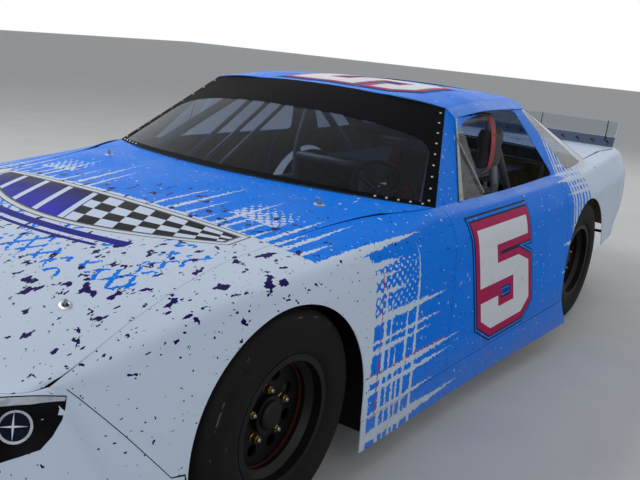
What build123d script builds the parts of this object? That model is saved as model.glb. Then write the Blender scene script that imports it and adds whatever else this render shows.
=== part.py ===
from build123d import *
import math
import os

# Late-model stock car: composite panels over a tube chassis, slick tyres, left-hand cockpit.
# Millimetres. The nose faces -Y, the driver's side is +X and the ground is Z = 0.

# Overall sizes
wheelbase = 2667.0
front_overhang = 1100.0
rear_overhang = 1193.0
body_width = 2000.0
roof_height = 1253.0
ground_clearance = 100.0

# Wheels and tyres
tyre_diameter = 690.0
tyre_width = 285.0
tyre_wall = 12.0
tyre_bead_gap = 0.4
rim_diameter = 381.0
rim_width = 254.0
rim_wall = 4.5
rim_flange = 16.5
rim_flange_width = 6.0
rim_drop = 20.0
front_track = 1635.0
rear_track = 1655.0
wheel_disc_offset = 45.0
wheel_disc_thickness = 7.0
hub_radius = 60.0
hub_outer_end = 75.0
hub_inner_end = -20.0
spindle_radius = 20.0
spindle_clearance = 0.05
brake_disc_radius = 135.0
brake_disc_thickness = 28.0
wheel_window_count = 8
wheel_window_radius = 20.0
wheel_window_circle = 118.0
caliper_gap = 5.5
caliper_length = 45.0
caliper_height = 100.0
caliper_wall = 6.5

# Steering and front suspension
kingpin_inset = 72.5
ball_joint_spread = 200.0
ball_pin_radius = 9.0
ball_pin_length = 18.0
arm_thickness = 24.0
arm_tube_radius = 12.0
spring_bar_radius = 10.0
arm_bush_radius = 18.0
arm_bush_length = 44.0
arm_pivot_spread = 150.0
arm_pad = 24.0
upright_width = 32.0
upright_length = 56.0
steering_arm_width = 28.0
steering_arm_top = 6.0
steering_arm_length = 110.0
tie_rod_radius = 12.0
tie_rod_gap = 5.5
tie_rod_end_radius = 17.0
tie_rod_end_height = 26.0
rack_radius = 26.0
rack_half_length = 230.0
rack_foot = (30.0, 12.0)
steering_wheel_radius = 180.0
steering_wheel_tube = 14.0
steering_wheel_dish = 40.0
steering_hub_radius = 32.0
steering_spoke = (30.0, 8.0)
column_length = 430.0
column_tilt = 20.0
column_radius = 19.0
stub_radius = 9.0
spring_radius = 42.0

# Panels and glass
panel = 5.0
glass = 6.0
cover_wall = 8.0
arch_clearance_front = 32.0
arch_clearance_rear = 46.0
arch_rise = 15.0
arch_spring_drop = 45.0
lid_gap = 7.0
seat_gap = 0.3
rocker_top = 215.0
rocker_flare = 36.0
quarter_bottom = 370.0
cowl_depth = 70.0
cowl_wall = 4.0
hood_pin_radius = 5.0
hood_pin_clearance = 2.0
hood_pin_stick_out = 26.0
hood_post_radius = 11.0
hood_post_arm = 20.0
spoiler_width = 1524.0
spoiler_base_height = 65.0
spoiler_height = 165.0
spoiler_lean = 21.0
spoiler_plate = 5.0
spoiler_place = 3782.0
tail_shelf = 6.0
tail_lip = 170.0
lid_rear = 3722.0
deck_hinge_pin = 6.0
deck_hinge_eye = 13.0
deck_hinge_spread = 840.0
deck_hinge_web = 12.0
deck_hinge_ear = 18.0
deck_bar_drop = 70.0
grille = (340.0, 190.0, 300.0)

# Chassis
cage_radius = 22.0
rail_width = 50.0
rail_height = 100.0
cross_width = 50.0
cross_height = 80.0
rail_spacing = 1240.0
clip_spacing = 740.0
clip_low, clip_high = 190.0, 230.0
kick_spacing = 1000.0
kick_height = 430.0
sheet = 3.0
tunnel_width = 320.0
tunnel_height = 430.0
engine_width = 500.0
engine_length = 590.0
engine_height = 490.0
engine_low = 190.0
gearbox_width = 220.0
gearbox_height = 190.0
gearbox_low = 210.0
exhaust_radius = 28.0
drive_shaft_radius = 38.0
axle_tube_radius = 38.0
differential = (130.0, 110.0)
pinion_radius = 60.0
seat_sheet = 6.0
seat_width = 380.0
seat_centre = 360.0
cushion = 38.0
stay_radius = 9.0
fuel_cell = (600.0, 380.0, 260.0)
radiator = (600.0, 58.0, 280.0)
tow_hole_radius = 20.0
tow_plate = 12.0
tow_plate_half = 34.0
tow_reach = 55.0
dash_depth = 62.0
dash_drop = 130.0
dash_sheet = 4.0

front_axle = front_overhang - (front_overhang + wheelbase + rear_overhang) / 2
rear_axle = front_axle + wheelbase
hub_height = tyre_diameter / 2
kingpin_x = front_track / 2 - kingpin_inset

# The body tables are drawn at these sizes and follow the overall sizes above.
drawn_front, drawn_base, drawn_rear = 1100.0, 2667.0, 1193.0
drawn_width, drawn_roof = 2000.0, 1253.0

# Side skin of the lower body, one row for each station. Columns: distance behind the front axle,
# then half-width and height of the hood or window sill, the shoulder and the upper side,
# then the half-width of the side at mid height and at the rocker.
SIDE = (
    (-660, 735, 600, 745, 592, 755, 560, 765, 770),
    (-540, 742, 655, 790, 640, 838, 590, 862, 870),
    (-400, 742, 712, 832, 695, 890, 622, 914, 926),
    (-200, 730, 765, 866, 745, 934, 665, 952, 960),
    (0, 715, 790, 886, 767, 957, 690, 972, 978),
    (300, 720, 812, 902, 786, 972, 702, 986, 991),
    (600, 765, 838, 912, 806, 977, 704, 991, 996),
    (950, 884, 856, 930, 824, 980, 706, 993, 1000),
    (1600, 884, 852, 930, 830, 985, 706, 1002, 1012),
    (2290, 862, 853, 916, 832, 986, 706, 1012, 1030),
    (2668, 838, 854, 902, 832, 982, 706, 1006, 1022),
    (3050, 800, 870, 876, 846, 962, 706, 980, 985),
    (3430, 778, 886, 852, 858, 935, 706, 945, 930),
)
side_middle = 450
door_front, door_rear = 985, 2290

# Crowned tops: distance behind the front axle, half-width, edge height, centre height.
HOOD = (
    (-980, 735, 480, 588),
    (-800, 735, 540, 655),
    (-660, 735, 600, 695),
    (-540, 742, 655, 723),
    (-400, 742, 712, 752),
    (-200, 730, 765, 788),
    (0, 715, 790, 815),
    (300, 720, 812, 843),
    (600, 765, 838, 866),
    (950, 884, 856, 884),
)
DECK = (
    (3050, 800, 870, 884),
    (3430, 770, 886, 891),
    (3760, 785, 886, 888),
)

# Places along the chassis: front clip, crossmembers, kick-up over the axle, fuel cell.
clip_front, clip_rear = -560.0, 430.0
cross_middle, rail_rear = 1250.0, 2160.0
kick_start, kick_top, kick_end = 2100.0, 2420.0, 3700.0
cell_place = 3020.0
shaft_rear = 2480.0
firewall_place = 700.0

# Hood pins: half-width and place.
HOOD_PINS = ((548, -470), (578, 620))

# Nose and tail covers by height: rear or front edge, end of the side, start of the face, tip.
# Columns: height, then half-width and place of the first three, then the tip's place.
NOSE = (
    (100, 925, -386, 905, -590, 660, -890, -1070),
    (325, 930, -386, 915, -590, 670, -905, -1100),
    (331, 925, -424, 912, -600, 668, -905, -1100),
    (470, 868, -532, 858, -640, 648, -880, -1075),
    (560, 800, -598, 797, -662, 620, -840, -1020),
    (600, 742, -634, 738, -672, 600, -788, -958),
)
TAIL = (
    (360, 925, 3430, 880, 3660, 760, 3790, 3815),
    (560, 942, 3430, 905, 3680, 790, 3815, 3848),
    (706, 935, 3430, 898, 3690, 790, 3822, 3860),
    (858, 852, 3430, 842, 3690, 778, 3814, 3850),
    (887, 778, 3430, 792, 3690, 752, 3802, 3838),
)

# Roof: distance behind the front axle, then half-width and height of four points.
ROOF = (
    (1320, 0, 1228, 420, 1218, 655, 1188, 700, 1150),
    (1800, 0, 1253, 420, 1244, 640, 1222, 704, 1182),
    (2340, 0, 1237, 400, 1228, 590, 1212, 668, 1172),
)
roof_front = (700, 1410, 1340)
roof_rear = (668, 2285, 2312)

# Posts and side windows: place of the base on the sill, then half-width, place and height above.
SCREEN = (955, 655, 1400, 1193)
WINDOW_FRONT = (1150, 700, 1411, 1156)
VENT_REAR = (1400, 702, 1455, 1159)
WINDOW_REAR = (2325, 682, 2108, 1174)
QUARTER_FRONT = (2600, 671, 2232, 1174)
QUARTER_REAR = (2930, 650, 2286, 1184)
PILLAR = (3040, 600, 2290, 1209)
screen_base_centre, screen_top_centre = (722, 880), (1341, 1228)
rear_base_centre, rear_top_centre = (3112, 888), (2310, 1237)

# Chassis tubes on the left side. Columns: name, start and end as half-width, place and height,
# then the tubes that each one is coped against.
CAGE = (
    ("leg_low", (640, 860, 200), (790, 1040, 800), ()),
    ("leg_high", (790, 1040, 800), (590, 1490, 1112), ("leg_low",)),
    ("hoop_leg", (640, 2110, 200), (640, 2110, 780), ()),
    ("hoop_high", (640, 2110, 780), (560, 2110, 1118), ("hoop_leg",)),
    ("halo", (590, 1490, 1112), (560, 2110, 1118), ("leg_high", "hoop_high")),
    ("stay", (560, 2110, 1118), (500, 2860, 470), ("hoop_high", "halo")),
    ("door_low", (665, 890, 300), (640, 2110, 300), ("leg_low", "hoop_leg")),
    ("door_middle", (702, 935, 450), (640, 2110, 450), ("leg_low", "hoop_leg")),
    ("door_high", (740, 980, 600), (640, 2110, 600), ("leg_low", "hoop_leg")),
    ("door_strut_low", (690, 1550, 300), (690, 1550, 450), ("door_low", "door_middle")),
)
CAGE_ACROSS = (
    ("dash", (790, 1040, 800), ("leg_low", "leg_high")),
    ("halo_front", (590, 1490, 1112), ("leg_high", "halo")),
    ("hoop_top", (560, 2110, 1118), ("hoop_high", "halo", "stay")),
    ("shelf", (640, 2110, 740), ("hoop_leg", "hoop_high")),
    ("spring_bar", (526, 2538, 740), ("stay",)),
)
BAY = (
    ("tower_front", (370, -150, 230), (370, -150, 613), ("bay_front",)),
    ("tower_rear", (370, 150, 230), (370, 150, 640), ("bay_front",)),
    ("bay_front", (370, -535, 575), (370, 150, 643), ()),
    ("bay_rear", (370, 150, 643), (752, 1002, 788), ("tower_rear", "bay_front")),
    ("nose_post", (370, -535, 240), (370, -535, 575), ("bay_front",)),
    ("nose_arm", (370, -535, 420), (300, -985, 400), ("nose_post",)),
)
BAY_ACROSS = (
    ("nose_bar", (300, -985, 400), ("nose_arm",)),
)
WINDOW_BARS = ((1000, 1640), (1160, 1800), (1320, 1960))
window_bar_radius = 12.0

# Struts that hold the panels, on the left: panel, the tube that holds the strut (if it is one),
# then the start and the way out as half-width, place and height.
STAYS = (
    ("rocker", "", (645.3, 720, 150), (1100, 720, 150)),
    ("rocker", "", (645.3, 1960, 150), (1100, 1960, 150)),
    ("door", "door_middle", (659, 1750, 450), (1100, 1750, 450)),
    ("door", "door_middle", (694, 1080, 450), (1100, 1080, 450)),
    ("door", "leg_low", (775, 1022, 740), (1100, 1070, 740)),
    ("fender", "bay_rear", (554, 560, 713), (1100, 560, 690)),
    ("nose", "nose_post", (370, -535, 410), (950, -620, 390)),
    ("nose", "nose_bar", (200, -985, 400), (200, -1200, 400)),
    ("tail", "bumper", (420, 3722, 430), (420, 3900, 430)),
    ("tail", "bumper", (480, 3722, 430), (480, 3749, 950)),
    ("quarter", "", (525.3, 3200, 430), (1100, 3200, 430)),
    ("roof", "halo", (573, 1850, 1116), (573, 1850, 1250)),
)


def along(s):
    """Y of a place s behind the front axle on the drawn car."""
    if s < 0:
        return front_axle + s * front_overhang / drawn_front
    if s < drawn_base:
        return front_axle + s * wheelbase / drawn_base
    return rear_axle + (s - drawn_base) * rear_overhang / drawn_rear


def across(x):
    return x * body_width / drawn_width


def up(z):
    return z * roof_height / drawn_roof


def at(x, s, z):
    return Vector(across(x), along(s), up(z))


def loft_wires(wires):
    return Solid.make_loft(wires, True)


def biggest(shape):
    return max(shape.solids(), key=lambda solid: solid.volume)


def unit(a, b):
    length = math.hypot(b[0] - a[0], b[1] - a[1])
    return ((b[0] - a[0]) / length, (b[1] - a[1]) / length)


def offset_path(points, amount):
    """Points of an open path moved sideways by the amount, to the right of its direction."""
    moved = []
    for i, (x, z) in enumerate(points):
        ways = []
        if i > 0:
            ways.append(unit(points[i - 1], (x, z)))
        if i < len(points) - 1:
            ways.append(unit((x, z), points[i + 1]))
        nx = sum(w[1] for w in ways) / len(ways)
        nz = -sum(w[0] for w in ways) / len(ways)
        size = nx * nx + nz * nz
        moved.append((x + nx / size * amount, z + nz / size * amount))
    return moved


def sheet_solid(stations, thickness):
    """A skin through stations, each a Y and a path of (x, z) points with its outside on the left."""
    wires = []
    for y, path in stations:
        loop = list(path) + offset_path(path, thickness)[::-1]
        wires.append(Wire.make_polygon([Vector(x, y, z) for x, z in loop], close=True))
    return loft_wires(wires)


def slab_between(base, top, thickness):
    """A four-sided plate. Base and top are pairs of outer corners, the rear one first."""
    inward = (base[1] - base[0]).cross(top[0] - base[0]).normalized() * thickness
    wires = [Wire.make_polygon([a, b, b + inward, a + inward], close=True) for a, b in (base, top)]
    return loft_wires(wires)


def tube(start, end, radius):
    way = end - start
    return Solid.make_cylinder(radius, way.length, Plane(origin=start, z_dir=way.normalized()))


def bar(start, end, width, height):
    """A straight rectangular bar whose height stands in the vertical plane through it."""
    way = (end - start).normalized()
    side = Vector(-way.Y, way.X, 0).normalized()
    plane = Plane(origin=start, x_dir=side, z_dir=way)
    return extrude(plane * Rectangle(width, height), (end - start).length).solid()


def block(x0, x1, y0, y1, z0, z1):
    x0, x1 = min(x0, x1), max(x0, x1)
    return Pos((x0 + x1) / 2, (y0 + y1) / 2, (z0 + z1) / 2) * Box(x1 - x0, y1 - y0, z1 - z0)


def x_cylinder(radius, x0, x1, y, z):
    return tube(Vector(min(x0, x1), y, z), Vector(max(x0, x1), y, z), radius)


def mirrored(shape):
    return mirror(shape, about=Plane.YZ)


def both_sides(shapes):
    shapes = shapes if isinstance(shapes, list) else [shapes]
    return shapes + [mirrored(shape) for shape in shapes]


def cut_all(shape, cutters):
    for cutter in cutters:
        shape = shape - cutter
    return shape


def write(name, shapes):
    shapes = shapes if isinstance(shapes, list) else [shapes]
    solids = [solid for shape in shapes for solid in shape.solids()]
    whole = solids[0] if len(solids) == 1 else Compound(children=solids)
    export_step(whole, os.path.join("parts", name + ".step"))


def side_at(s):
    """A station anywhere along the side, between the rows of the table."""
    for a, b in zip(SIDE, SIDE[1:]):
        if a[0] <= s <= b[0]:
            share = (s - a[0]) / (b[0] - a[0])
            return tuple(p + (q - p) * share for p, q in zip(a, b))
    raise ValueError("no side at that place")


def sill(s):
    """A point just above the sill."""
    row = side_at(s)
    return at(row[1], s, row[2]) + Vector(0, 0, seat_gap)


def side_path(row):
    s, sill_x, sill_z, shoulder_x, shoulder_z, side_x, side_z, middle_x, low_x = row
    return [(across(sill_x), up(sill_z)), (across(shoulder_x), up(shoulder_z)),
            (across(side_x), up(side_z)), (across(middle_x), up(side_middle)),
            (across(low_x), rocker_top)]


def side_skin(first, last):
    """The left side between two places, as one sheet."""
    rows = [side_at(first)] + [r for r in SIDE if first < r[0] < last] + [side_at(last)]
    return sheet_solid([(along(r[0]), side_path(r)) for r in rows], panel)


def crowned(row):
    """A crowned top section, from its right edge to its left."""
    s, half, edge, centre = row
    half = across(half) - lid_gap
    rise = up(centre) - up(edge)
    shares = (-1, -0.62, -0.25, 0.25, 0.62, 1)
    return [(half * k, up(edge) + rise * (1 - k * k)) for k in shares]


def crown_height(table, x, y):
    """Height of a crowned top's outer face at a point."""
    for a, b in zip(table, table[1:]):
        ya, yb = along(a[0]), along(b[0])
        if ya <= y <= yb:
            heights = []
            for row in (a, b):
                path = crowned(row)
                spans = [(p, q) for p, q in zip(path, path[1:]) if p[0] <= x <= q[0]]
                (x0, z0), (x1, z1) = spans[0]
                heights.append(z0 + (z1 - z0) * (x - x0) / (x1 - x0))
            return heights[0] + (heights[1] - heights[0]) * (y - ya) / (yb - ya)
    raise ValueError("no top at that place")


def arch_cutter(axle, clearance):
    """The wheel opening: half an ellipse over straight sides, through the whole side."""
    half = tyre_diameter / 2 + clearance
    spring = hub_height - arch_spring_drop
    rise = tyre_diameter + arch_rise - spring
    outline = Pos(axle, spring) * Ellipse(half, rise)
    outline += Pos(axle, spring / 2 - 50) * Rectangle(2 * half, spring + 100)
    return extrude(Plane.YZ * outline, body_width, both=True)


def cover_arcs(row, wall, sign):
    """Plan outline of a nose or tail level, moved in by a wall; sign is the way it faces."""
    z, edge_x, edge_s, side_x, side_s, face_x, face_s, tip_s = row
    edge = Vector(across(edge_x) - wall, along(edge_s))
    side = Vector(across(side_x) - wall, along(side_s))
    face = Vector(across(face_x) - wall / 2, along(face_s) - sign * wall)
    tip = Vector(0, along(tip_s) - sign * wall)
    bulge = (edge + side) * 0.5 + Vector((side - edge).length * 0.02, 0)
    round_x = face.X + (side.X - face.X) * math.sqrt(0.5)
    round_y = side.Y + (face.Y - side.Y) * math.sqrt(0.5)
    left = [(edge, bulge, side), (side, Vector(round_x, round_y), face)]

    def flip(v):
        return Vector(-v.X, v.Y)

    right = [(flip(c), flip(b), flip(a)) for a, b, c in reversed(left)]
    return [ThreePointArc(*arc) for arc in left + [(face, tip, flip(face))] + right]


def cover_level(row, sign):
    """One level of a cover, a closed band as wide as its wall."""
    outer = cover_arcs(row, 0, sign)
    inner = [Edge.make_three_point_arc(e @ 1, e @ 0.5, e @ 0)
             for e in reversed(cover_arcs(row, cover_wall, sign))]
    ends = [Line(outer[-1] @ 1, inner[0] @ 0), Line(inner[-1] @ 1, outer[0] @ 0)]
    wire = Wire(outer + [ends[0]] + inner + [ends[1]])
    return Pos(0, 0, row[0] if row[0] <= ground_clearance else up(row[0])) * wire


def nose_cover():
    shell = loft_wires([cover_level(row, -1) for row in NOSE])
    half, low, high = grille
    mouth = block(-across(half), across(half), along(-1150), along(-850), up(low), up(high))
    return biggest(shell - mouth)


def tail_cover():
    """The rear cover, with the flat shelf that carries the spoiler."""
    shell = loft_wires([cover_level(row, 1) for row in TAIL])
    outer = cover_arcs(TAIL[-1], cover_wall / 2, 1)
    outline = make_face(Wire(outer + [Line(outer[-1] @ 1, outer[0] @ 0)]))
    top = up(TAIL[-1][0])
    shelf = extrude(Pos(0, 0, top - tail_shelf) * outline, tail_shelf)
    behind = block(-body_width, body_width, along(lid_rear) + lid_gap, along(4000), 0, roof_height)
    under = min(crown_height(DECK, x, along(s)) for x in (0, tail_lip)
                for s in (lid_rear - 32, lid_rear + 18))
    low = under - panel - seat_gap
    rear = along(lid_rear) + lid_gap + 20
    lip = block(-tail_lip, tail_lip, along(lid_rear - 27), rear, low - tail_shelf, low)
    post = block(-tail_lip, tail_lip, rear - 16, rear, low - tail_shelf, top)
    return biggest(shell + biggest(shelf & behind) + lip + post)


def fender():
    """From the nose seam to the door, over the front wheel."""
    seam = [(NOSE[5][2], NOSE[5][0]), (NOSE[4][2], NOSE[4][0]), (NOSE[3][2], NOSE[3][0]),
            (NOSE[2][2], NOSE[2][0]), (NOSE[1][2], NOSE[1][0]), (NOSE[1][2] + 60, NOSE[1][0]),
            (NOSE[1][2] + 60, -100), (-900, -100), (-900, 700), (NOSE[5][2] - 20, 700)]
    outline = Wire.make_polygon([Vector(0, along(s), up(z)) for s, z in seam], close=True)
    front = extrude(Face(outline), across(1300), dir=(1, 0, 0))
    arch = arch_cutter(front_axle, arch_clearance_front)
    return biggest(cut_all(side_skin(SIDE[0][0], door_front), [front, arch]))


def quarter_panel():
    low = block(0, across(1300), rear_axle, along(3600), 0, up(quarter_bottom))
    arch = arch_cutter(rear_axle + 18, arch_clearance_rear)
    return biggest(cut_all(side_skin(door_rear, SIDE[-1][0]), [low, arch]))


def rocker():
    """The skirt under the door, which flares outwards towards the rear wheel."""
    stations = []
    start = tyre_diameter / 2 + arch_clearance_front + 2
    end = wheelbase + 18 - tyre_diameter / 2 - arch_clearance_rear - 2
    for share, flare in ((0, 0.1), (0.4, 0.25), (1, 1)):
        y = front_axle + start + (end - start) * share
        row = side_at((y - front_axle) * drawn_base / wheelbase)
        x, out = across(row[8]), rocker_flare * flare
        path = [(x, rocker_top), (x + out * 0.45, (rocker_top + ground_clearance) / 2),
                (x + out, ground_clearance)]
        stations.append((y, path))
    return sheet_solid(stations, panel)


def hood_pin_places():
    return [(side * across(x), along(s)) for x, s in HOOD_PINS for side in (1, -1)]


def hood():
    """Lift-off hood: it ends a gap short of the nose, fenders and cowl."""
    skin = sheet_solid([(along(r[0]), crowned(r)) for r in HOOD], panel)
    front = cover_arcs(NOSE[-1], cover_wall + lid_gap, -1)
    rear = cowl_arc(lid_gap)
    far = across(1100)
    a, b = front[0] @ 0, front[-1] @ 1
    c, d = rear @ 0, rear @ 1
    outline = front + [Line(b, Vector(-far, b.Y)), Line(Vector(-far, b.Y), Vector(-far, c.Y)),
                       Line(Vector(-far, c.Y), c), rear, Line(d, Vector(far, d.Y)),
                       Line(Vector(far, d.Y), Vector(far, a.Y)), Line(Vector(far, a.Y), a)]
    keep = extrude(Pos(0, 0, up(300)) * make_face(Wire(outline)), up(900))
    holes = [Pos(x, y, up(700)) * Cylinder(hood_pin_radius + hood_pin_clearance, up(700))
             for x, y in hood_pin_places()]
    return biggest(cut_all(biggest(skin & keep), holes))


def cowl_arc(gap):
    """Plan arc in front of the windshield's foot, from right to left."""
    corner = side_at(SCREEN[0])
    return ThreePointArc(Vector(-across(corner[1]), along(SCREEN[0]) - gap),
                         Vector(0, along(screen_base_centre[0]) - gap),
                         Vector(across(corner[1]), along(SCREEN[0]) - gap))


def glass_band(corner, centre, thickness, below=0.0):
    """A closed band along an arc through two mirrored corners and a middle point."""
    shift = Vector(0, 0, -below)
    flat = Vector(0, corner.Y, corner.Z)
    inward = (flat - centre).normalized() * thickness
    corner, centre = corner + shift, centre + shift
    far = Vector(-corner.X, corner.Y, corner.Z)
    outer = Edge.make_three_point_arc(corner, centre, far)
    inner = Edge.make_three_point_arc(far + inward, centre + inward, corner + inward)
    return Wire([outer, Edge.make_line(far, far + inward), inner,
                 Edge.make_line(corner + inward, corner)])


def curved_glass(base, base_centre, top, top_centre):
    """A pane bowed outwards between a foot and a head, each given by a corner and a middle."""
    rise = (top_centre - base_centre).normalized()
    outward = Vector(1, 0, 0).cross(rise)
    bands = []
    for corner, centre in ((base, base_centre), (top, top_centre)):
        inward = (Vector(0, corner.Y, corner.Z) - centre).normalized()
        bands.append(glass_band(corner, centre, glass / abs(inward.dot(outward))))
    return loft_wires(bands)


def upper(row, extra=0.0):
    """The head of a post, from its row, raised a little along the post."""
    base = sill(row[0])
    head = at(*row[1:])
    return head + (head - base).normalized() * extra


def post(rear, front, thickness=panel):
    return slab_between((sill(rear[0]), sill(front[0])), (upper(rear, 4), upper(front, 4)),
                        thickness)


def greenhouse():
    """Roof, posts and glass: each is cut where it meets the ones before it."""
    roof = roof_panel()
    made = {"roof": roof}
    for name, rear, front, thickness in (
            ("a_post", WINDOW_FRONT, SCREEN, panel),
            ("sail_post", QUARTER_FRONT, WINDOW_REAR, panel),
            ("quarter_window", QUARTER_REAR, QUARTER_FRONT, panel),
            ("rear_pillar", PILLAR, QUARTER_REAR, panel),
            ("vent_window", VENT_REAR, WINDOW_FRONT, panel)):
        made[name] = biggest(cut_all(post(rear, front, thickness), list(made.values())))
    lift = Vector(0, 0, seat_gap)
    screen = curved_glass(sill(SCREEN[0]) + lift, at(0, *screen_base_centre) + lift,
                          upper(SCREEN, 6), at(0, *screen_top_centre) + Vector(0, 5, 3))
    rear = curved_glass(sill(PILLAR[0]) + lift, at(0, *rear_base_centre) + lift,
                        upper(PILLAR, 6), at(0, *rear_top_centre) + Vector(0, -5, 3))
    posts = both_sides([made["a_post"], made["rear_pillar"], made["quarter_window"]])
    made["windshield"] = biggest(cut_all(screen, [roof] + posts))
    made["rear_window"] = biggest(cut_all(rear, [roof] + posts))
    return made


def roof_panel():
    rows = []
    for s, x0, z0, x1, z1, x2, z2, x3, z3 in ROOF:
        half = [(across(x), up(z)) for x, z in ((x3, z3), (x2, z2), (x1, z1))]
        path = [(-x, z) for x, z in half] + [(0, up(z0))] + half[::-1]
        rows.append((along(s), path))
    skin = sheet_solid(rows, panel)
    fx, fs, fc = roof_front
    rx, rs, rc = roof_rear
    front = ThreePointArc((-across(fx), along(fs)), (0, along(fc)), (across(fx), along(fs)))
    rear = ThreePointArc((across(rx), along(rs)), (0, along(rc)), (-across(rx), along(rs)))
    far = across(900)
    a, b, c, d = front @ 0, front @ 1, rear @ 0, rear @ 1
    outline = [front, Line(b, (far, b.Y)), Line((far, b.Y), (far, c.Y)), Line((far, c.Y), c), rear,
               Line(d, (-far, d.Y)), Line((-far, d.Y), (-far, a.Y)), Line((-far, a.Y), a)]
    keep = extrude(Pos(0, 0, up(1000)) * make_face(Wire(outline)), up(400))
    return biggest(skin & keep)


def cowl_panels(cutters):
    """Upright walls under the feet of the windshield and the rear window."""
    walls = []
    for place, centre in ((SCREEN[0], screen_base_centre), (PILLAR[0], rear_base_centre)):
        corner, middle = sill(place), at(0, *centre)
        bands = [glass_band(corner, middle, cowl_wall, below) for below in (cowl_depth, 0)]
        walls.append(biggest(cut_all(loft_wires(bands), cutters)))
    return walls


def deck_hinge_place():
    return along(3230), up(860)


def deck_lid():
    """Deck lid with two hinge eyes under its front edge."""
    skin = sheet_solid([(along(r[0]), crowned(r)) for r in DECK], panel)
    corner = side_at(PILLAR[0])
    front = ThreePointArc(Vector(across(corner[1]), along(PILLAR[0]) + cowl_wall + lid_gap),
                          Vector(0, along(rear_base_centre[0]) + lid_gap),
                          Vector(-across(corner[1]), along(PILLAR[0]) + cowl_wall + lid_gap))
    far = across(1000)
    rear_y = along(lid_rear)
    a, b = front @ 0, front @ 1
    outline = [front, Line(b, (-far, b.Y)), Line((-far, b.Y), (-far, rear_y)),
               Line((-far, rear_y), (far, rear_y)), Line((far, rear_y), (far, a.Y)),
               Line((far, a.Y), a)]
    keep = extrude(Pos(0, 0, up(700)) * make_face(Wire(outline)), up(400))
    lid = biggest(skin & keep)
    y, z = deck_hinge_place()
    for side in (1, -1):
        x = side * deck_hinge_spread / 2
        half = deck_hinge_web
        top = min(crown_height(DECK, x + dx, y + dy) for dx in (-half, half) for dy in (-half, half))
        eye = x_cylinder(deck_hinge_eye, x - half, x + half, y, z)
        web = block(x - half, x + half, y - 10, y + 10, z, top - panel / 2)
        bore = x_cylinder(deck_hinge_pin + seat_gap, x - 30, x + 30, y, z)
        lid = (lid + web + eye) - bore
    return biggest(lid)


def deck_bar_ends():
    y, z = deck_hinge_place()
    return Vector(-across(700), y, z - deck_bar_drop), Vector(across(700), y, z - deck_bar_drop)


def deck_hinges():
    """A cross tube under the deck with a pin between two ears at each hinge."""
    y, z = deck_hinge_place()
    start, end = deck_bar_ends()
    shape = tube(start, end, cage_radius)
    for side in (1, -1):
        x = side * deck_hinge_spread / 2
        shape += x_cylinder(deck_hinge_pin, x - 24, x + 24, y, z)
        for ear in (x - deck_hinge_ear, x + deck_hinge_ear):
            shape += block(ear - 5, ear + 5, y - 9, y + 9, z - deck_bar_drop + 10, z + 9)
    for side in (1, -1):
        post_foot = Vector(side * kick_spacing / 2, y, up(kick_height) + cross_height / 2 + seat_gap)
        shape += tube(post_foot, Vector(post_foot.X, y, z - deck_bar_drop), cage_radius * 0.8)
    return shape


def spoiler(low, high):
    """A leaning plate across the tail between two heights."""
    lean = math.tan(math.radians(spoiler_lean))
    y = along(spoiler_place)
    z = up(TAIL[-1][0]) + seat_gap
    outline = [Vector(0, y + lean * low, z + low), Vector(0, y + lean * high, z + high),
               Vector(0, y + lean * high + spoiler_plate, z + high),
               Vector(0, y + lean * low + spoiler_plate, z + low)]
    face = Face(Wire.make_polygon(outline, close=True))
    return extrude(face, spoiler_width / 2, dir=(1, 0, 0), both=True)


def wheel(side, track, axle_y):
    """A steel wheel with its hub and brake disc, turned about its own axle."""
    centre = side * track / 2
    seat = rim_diameter / 2
    half = rim_width / 2
    lip = half + rim_flange_width
    drop = seat - rim_drop
    barrel = [(-lip, seat + rim_flange), (-half, seat + rim_flange), (-half, seat),
              (-half + 27, seat), (-half + 47, drop), (half - 47, drop), (half - 27, seat),
              (half, seat), (half, seat + rim_flange), (lip, seat + rim_flange),
              (lip, seat - rim_wall), (half - 25, seat - rim_wall), (half - 45, drop - rim_wall),
              (-half + 45, drop - rim_wall), (-half + 25, seat - rim_wall), (-lip, seat - rim_wall)]
    disc = wheel_disc_offset
    parts = [barrel, box_profile(disc, disc + wheel_disc_thickness, spindle_radius + 10,
                                 drop - rim_wall / 2),
             box_profile(hub_inner_end, hub_outer_end, spindle_radius + spindle_clearance,
                         hub_radius),
             box_profile(hub_inner_end, hub_inner_end + brake_disc_thickness,
                         spindle_radius + 10, brake_disc_radius)]
    shape = None
    for profile in parts:
        turned = turned_profile(profile)
        shape = turned if shape is None else shape + turned
    for i in range(wheel_window_count):
        angle = 2 * math.pi * (i + 0.5) / wheel_window_count
        y, z = wheel_window_circle * math.cos(angle), wheel_window_circle * math.sin(angle)
        shape -= x_cylinder(wheel_window_radius, disc - 2, disc + wheel_disc_thickness + 2, y, z)
    if side < 0:
        shape = mirrored(shape)
    return Pos(centre, axle_y, hub_height) * shape


def box_profile(x0, x1, r0, r1):
    return [(x0, r0), (x1, r0), (x1, r1), (x0, r1)]


def turned_profile(points):
    wire = Wire.make_polygon([Vector(x, 0, r) for x, r in points], close=True)
    return revolve(Face(wire), Axis.X, 360)


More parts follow.
